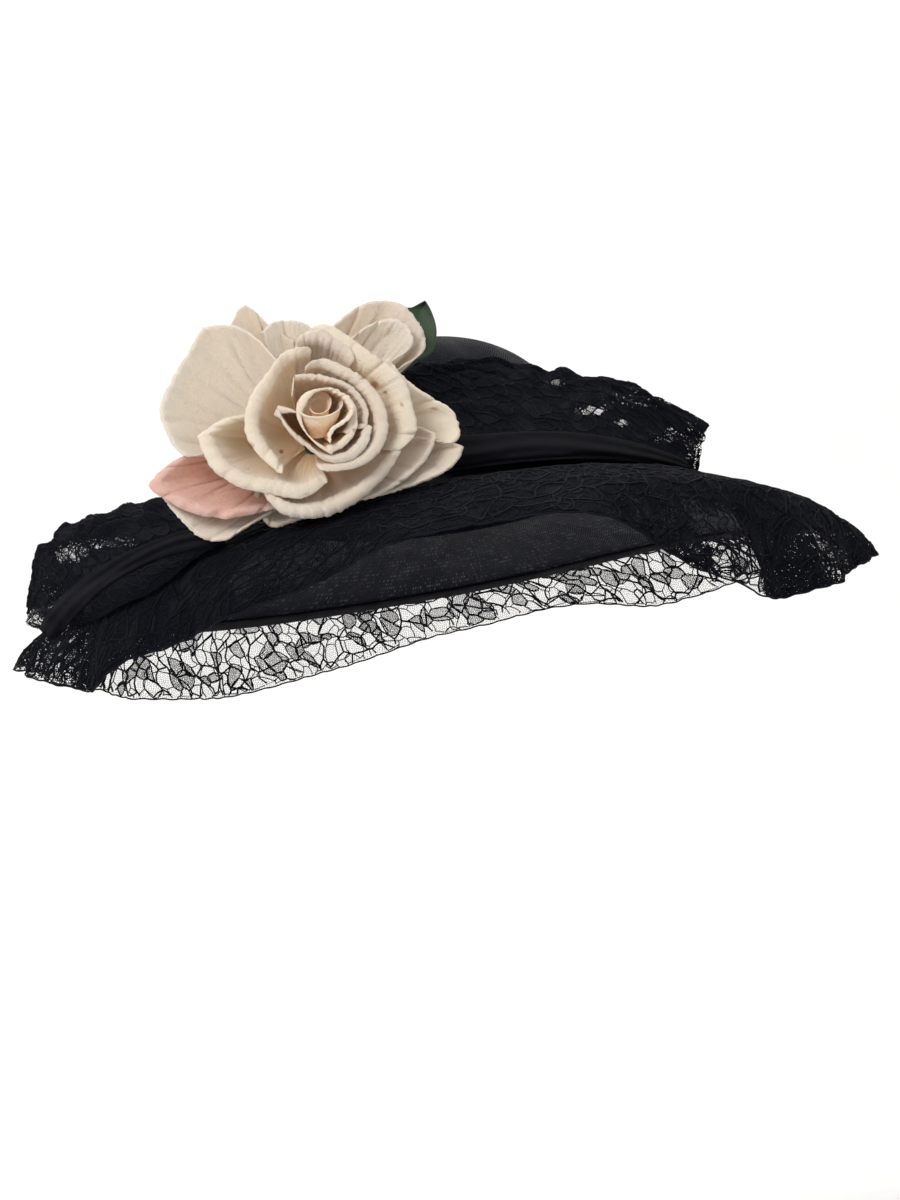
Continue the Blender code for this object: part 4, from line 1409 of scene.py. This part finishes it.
# %% Rose petals
PETALS = [
    # name, finish, behind, stem, cup, roll radius, roll turn, ruffle, rim
    ("bud_wrap_upper", bud_silk, 1.0, 24, 0.95, 2.6, 125, 0.9,
     [(19.3, -12.2), (22.1, -3.8), (19.3, 4.6), (13.4, 8.7), (6.8, 10.7), (-1.6, 8.7), (-5.8, 2.9),
      (-6.3, -3.8), (-3.3, -9.7)]),
    ("bud_wrap_lower", bud_silk, 0.5, 24, 0.95, 2.2, 125, 0.8,
     [(-6.1, -1.3), (-4.6, -8.0), (0.1, -14.7), (5.1, -18.5), (9.3, -20.9), (10.4, -21.4),
      (12.1, -20.2), (17.6, -16.4), (22.1, -10.5), (23.5, -3.0)]),
    ("bud_wrap_inner", bud_silk, -3.5, 22, 0.95, 1.2, 110, 0.6,
     [(21.8, 1.2), (20.1, -4.1), (16.0, -7.5), (12.4, -10.2), (10.8, -13.8), (11.4, -17.5)]),
    ("ring_upper", cream_silk, 4.5, 27, 0.85, 1.8, 140, 1.0,
     [(-8.3, 6.2), (-7.6, 12.9), (-6.3, 14.1), (5.1, 14.1), (18.5, 9.9), (26.5, 0.4),
      (27.5, -9.7)]),
    ("ring_front", cream_silk, 3.0, 27, 0.90, 3.6, 125, 1.2,
     [(-5.0, -0.5), (-10.0, 1.5), (-15.5, 2.7), (-16.5, 1.9), (-14.7, -4.1), (-10.6, -10.8),
      (-4.1, -18.2), (4.2, -23.5), (11.8, -25.2), (20.1, -23.2), (26.8, -17.2), (29.5, -9.2),
      (28.5, -7.5), (25.5, -9.5)]),
    ("ring_right", cream_silk, 6.0, 28, 0.80, 4.2, 120, 1.4,
     [(-2, 21), (6, 22), (17, 17.5), (27.5, 10), (33.5, 1), (35.5, -9), (33, -18),
      (26.5, -25.5), (16, -29.5), (5, -31.5)]),
    ("cup_left", aged_silk, 9.0, 32, 0.80, 4.6, 125, 2.0,
     [(1, 28), (-5, 27), (-13, 22.5), (-19, 13), (-25, 3), (-27.5, -9), (-23, -20), (-15, -32)]),
    ("cup_low_left", aged_silk, 12.0, 34, 0.70, 4.6, 130, 2.4,
     [(-27, -3), (-38, -6), (-48.1, -12.2), (-48.9, -14.5), (-44, -26), (-33, -34),
      (-19, -38), (-5, -41.5), (10, -36)]),
    ("cup_low", cream_silk, 14.0, 36, 0.65, 3.6, 150, 2.4,
     [(-22, -39), (-17, -45), (-9, -49.5), (6, -50), (21.5, -43), (33.5, -32.5), (43.5, -20)]),
    ("cup_right", aged_silk, 14.0, 34, 0.65, 7.5, 105, 2.0,
     [(-3, 35), (5, 37.5), (12, 35), (26.5, 24), (41.5, 13), (47, -1), (49.5, -11), (44, -21)]),
    ("cup_top", cream_silk, 12.0, 33, 0.70, 5.0, 110, 1.6,
     [(-7, 26), (-4, 32), (3, 34), (12, 31), (22, 23)]),
    ("wide_right", aged_silk, 24.0, 40, 0.35, 1.4, 120, 3.0,
     [(38, 23), (44.5, 14), (56, 5), (65, 0), (69.5, -6), (71, -13), (68, -17), (60, -16),
      (50, -14)]),
    ("wide_low", cream_silk, 22.0, 40, 0.45, 1.4, 120, 2.5,
     [(50, -9), (58.5, -12.4), (59.4, -14.5), (56, -23), (47, -32.5), (32, -42), (19, -45)]),
    ("wide_low_right", cream_silk, 26.0, 42, 0.35, 1.4, 120, 2.5,
     [(60, -15), (71.5, -18.5), (72.2, -20.4), (68, -27.5), (57, -34), (41.5, -39.5), (30, -43)]),
    ("wide_left", pale_silk, 22.0, 42, 0.45, 1.8, 110, 3.6,
     [(-47, -21), (-57, -23.5), (-63.5, -17.5), (-68, -8), (-69, 1), (-61, 18), (-50.5, 35.5),
      (-48.3, 37.1), (-45.4, 37.9), (-34, 37.5), (-24, 31.5), (-15, 22)]),
    ("back_point", cream_silk, 30.0, 44, 0.25, 1.4, 110, 2.0,
     [(-40, 31), (-36, 40), (-31.5, 47.5), (-26, 45.5), (-18, 38), (-7, 31)]),
    ("wide_top", pale_silk, 27.0, 42, 0.40, 1.4, 110, 2.0,
     [(-22, 35), (-17, 39.5), (-9, 40.5), (0, 38), (2, 30)]),
    ("back_upper_right", cream_silk, 34.0, 46, 0.45, 3.0, 140, 2.4,
     [(8, 32), (12, 38), (19, 44.5), (27, 49), (36, 50.5), (44, 48.5), (50, 42.5), (54.5, 35),
      (54, 26), (45, 20)]),
    ("pink_left", pink_silk, 27.0, 43, 0.48, 4.6, 110, 1.6,
     [(-10.5, -44), (-12.5, -47), (-19, -48), (-31, -50), (-41, -51), (-55, -48), (-68, -41.5),
      (-72.8, -37.5), (-72.9, -35.3), (-66.5, -28.5), (-58, -23.5), (-48, -22)]),
    ("back_low_left", cream_silk, 34.0, 46, 0.20, 1.4, 110, 2.4,
     [(-70, -37), (-68, -43), (-61.5, -51), (-50, -61.5), (-39, -62.5), (-33, -59), (-23, -53),
      (-12, -47)]),
    ("wide_low_left", cream_silk, 35.5, 46, 0.34, 1.6, 110, 2.4,
     [(-24, -24), (-25, -35), (-23.5, -48), (-17.5, -56), (-9, -54.5), (6, -49), (22, -44)]),
]
FLAP = ("back_upper_flap", pale_silk, 30.0, 44, 0.55, 1.6, 120, 1.6,
        [(20, 32), (28.5, 38), (38.5, 41), (46, 38), (49, 31.5), (47.5, 27), (40, 22)])

for number, row in enumerate(PETALS):
    make_petal(*row, seed=number + 1)
make_petal(*FLAP, seed=40)
print("petals:", len(PETALS) + 1,
      "triangles each about", 2 * PETAL_ALONG * (PETAL_UP + CURL_ROWS) * 2)

# %% [markdown]
# One dark leaf stands behind the rose, pointed and folded along its midrib, on a covered wire
# that leaves the rose's stem.

# %% Leaf
LEAF_BEHIND = 56.0
STALK_RADIUS, STALK_STEPS = 0.0010, 14
STALK_END = (377, 378)
STALK_START = 0.12  # how far inside the hub's tip the stalk begins
STALK_SAG = Vector((0, 0.004, -0.004))
LEAF_LEFT = [(370, 372), (384, 350), (398, 322), (404, 309), (413, 307), (425, 301)]
LEAF_RIGHT = [(385, 385), (404, 372), (417, 362), (431, 353), (436, 338), (436, 326), (431, 311),
              (425, 301)]
LEAF_ALONG, LEAF_OVER = 40, 16
MIDRIB, LEAF_FOLD = 0.45, 7.0


def from_photo(pixel, behind):
    """A point behind the rose at a photo pixel."""
    x, y = seen(ROSE_CENTRE)
    scale = (ROSE_CENTRE - eye).dot(look) / FOCAL_PIXELS * 1000
    return face((pixel[0] - x) * scale, (y - pixel[1]) * scale, behind)


def make_leaf():
    left_edge, right_edge = (rim_curve(edge, LEAF_ALONG)[0] for edge in (LEAF_LEFT, LEAF_RIGHT))
    rows = []
    for i in range(LEAF_ALONG + 1):
        row = []
        for j in range(LEAF_OVER + 1):
            t = j / LEAF_OVER
            fold = abs(t - MIDRIB) * LEAF_FOLD + 0.8 * wobble(i * 0.16, t * 3, 4.0)
            row.append(from_photo(between(left_edge[i], right_edge[i], t), LEAF_BEHIND - fold))
        rows.append(row)
    leaf = grid_piece("silk_leaf", rows, [leaf_silk], walk_uvs(rows))
    ready(wall(leaf, SILK), "green_silk", "rose_leaf")


hub_node = bpy.data.objects["rose_hub"]
hub_node.data.materials.clear()
hub_node.data.materials.append(leaf_silk)
make_leaf()
foot = from_photo(STALK_END, LEAF_BEHIND - 2.0)
stem_end = max((hub_node.matrix_world @ v.co for v in hub_node.data.vertices), key=lambda p: p.y)
stem_end = stem_end.lerp(ROSE_CENTRE, STALK_START)
stalk_path = [stem_end.lerp(foot, share) + STALK_SAG * math.sin(math.pi * share)
              for share in (k / STALK_STEPS for k in range(STALK_STEPS + 1))]
ready(tube("leaf_stalk", stalk_path, STALK_RADIUS, 8, leaf_silk), "green_silk")

# %% [markdown]
# The hat is shown against a pale sweep: a floor that curves up into a wall, well behind and
# below the hat. It is wide enough to fill the view from the front.

# %% Stage
FLOOR_HEIGHT = -0.46
SWEEP_HALF_WIDTH = 4.0
SWEEP_FRONT, SWEEP_BACK, SWEEP_TOP = -4.0, 2.6, 3.4
SWEEP_CURVE, CURVE_STEPS = 0.9, 12
PAPER_GREY = (0.86, 0.86, 0.855, 1)
PAPER_PALE = (0.89, 0.89, 0.885, 1)


def make_sweep():
    material, tree, shader = new_material("studio paper", 0.9, Specular_IOR_Level=0.1)
    fibre = place_effect(tree, grain, Vector=place_of(tree), Size=0.004)
    tone = ramp(tree, fibre["Tone"], 0.3, 0.7)
    paint(tree, shader, blend_colours(tree, tone, PAPER_GREY, PAPER_PALE))
    profile = [(SWEEP_FRONT, FLOOR_HEIGHT)]
    for k in range(CURVE_STEPS + 1):
        turn = math.radians(90) * k / CURVE_STEPS
        profile.append((SWEEP_BACK - SWEEP_CURVE + SWEEP_CURVE * math.sin(turn),
                        FLOOR_HEIGHT + SWEEP_CURVE - SWEEP_CURVE * math.cos(turn)))
    profile.append((SWEEP_BACK, SWEEP_TOP))
    rows = [[Vector((side, y, z)) for side in (-SWEEP_HALF_WIDTH, SWEEP_HALF_WIDTH)]
            for y, z in profile]
    sweep = grid_piece("studio_sweep", rows, [material], walk_uvs(rows))


make_sweep()

# %% [markdown]
# The light is soft, as from a large window: a pale sky from all round, one broad lamp high at
# the front left, and a weaker one from the right, which opens the shadows under the brim. A
# third lamp, behind the hat, brightens the backdrop alone.

# %% Lights
LAMPS = [  # name, place, target, size in metres, watts, colour
    ("key", (-1.5, -1.9, 1.9), (0, 0, 0), (1.6, 1.6), 54, (1.0, 0.945, 0.91)),
    ("fill", (2.0, -1.8, 0.6), (0, 0, 0), (1.6, 1.6), 6, (1, 1, 1)),
    ("backdrop", (0, 0.9, 2.6), (0, 2.5, 0.0), (4.0, 1.0), 48, (1, 1, 1)),
]
SKY_COLOUR = (1.0, 0.985, 0.97, 1)
SKY_STRENGTH = 0.56


def lamp(name, place, target, size, power, colour):
    light = bpy.data.lights.new(name, "AREA")
    light.shape = "RECTANGLE"
    light.size, light.size_y = size
    light.energy = power
    light.color = colour
    aim = (Vector(target) - Vector(place)).to_track_quat("-Z", "Y")
    holder = place_piece(name, light)
    holder.matrix_world = Matrix.Translation(place) @ aim.to_matrix().to_4x4()


for row in LAMPS:
    lamp(*row)
sky = bpy.data.worlds.new("studio air")
sky.use_nodes = True
air = sky.node_tree.nodes["Background"].inputs
air["Color"].default_value = SKY_COLOUR
air["Strength"].default_value = SKY_STRENGTH
bpy.context.scene.world = sky
bpy.context.scene.view_settings.view_transform = "Standard"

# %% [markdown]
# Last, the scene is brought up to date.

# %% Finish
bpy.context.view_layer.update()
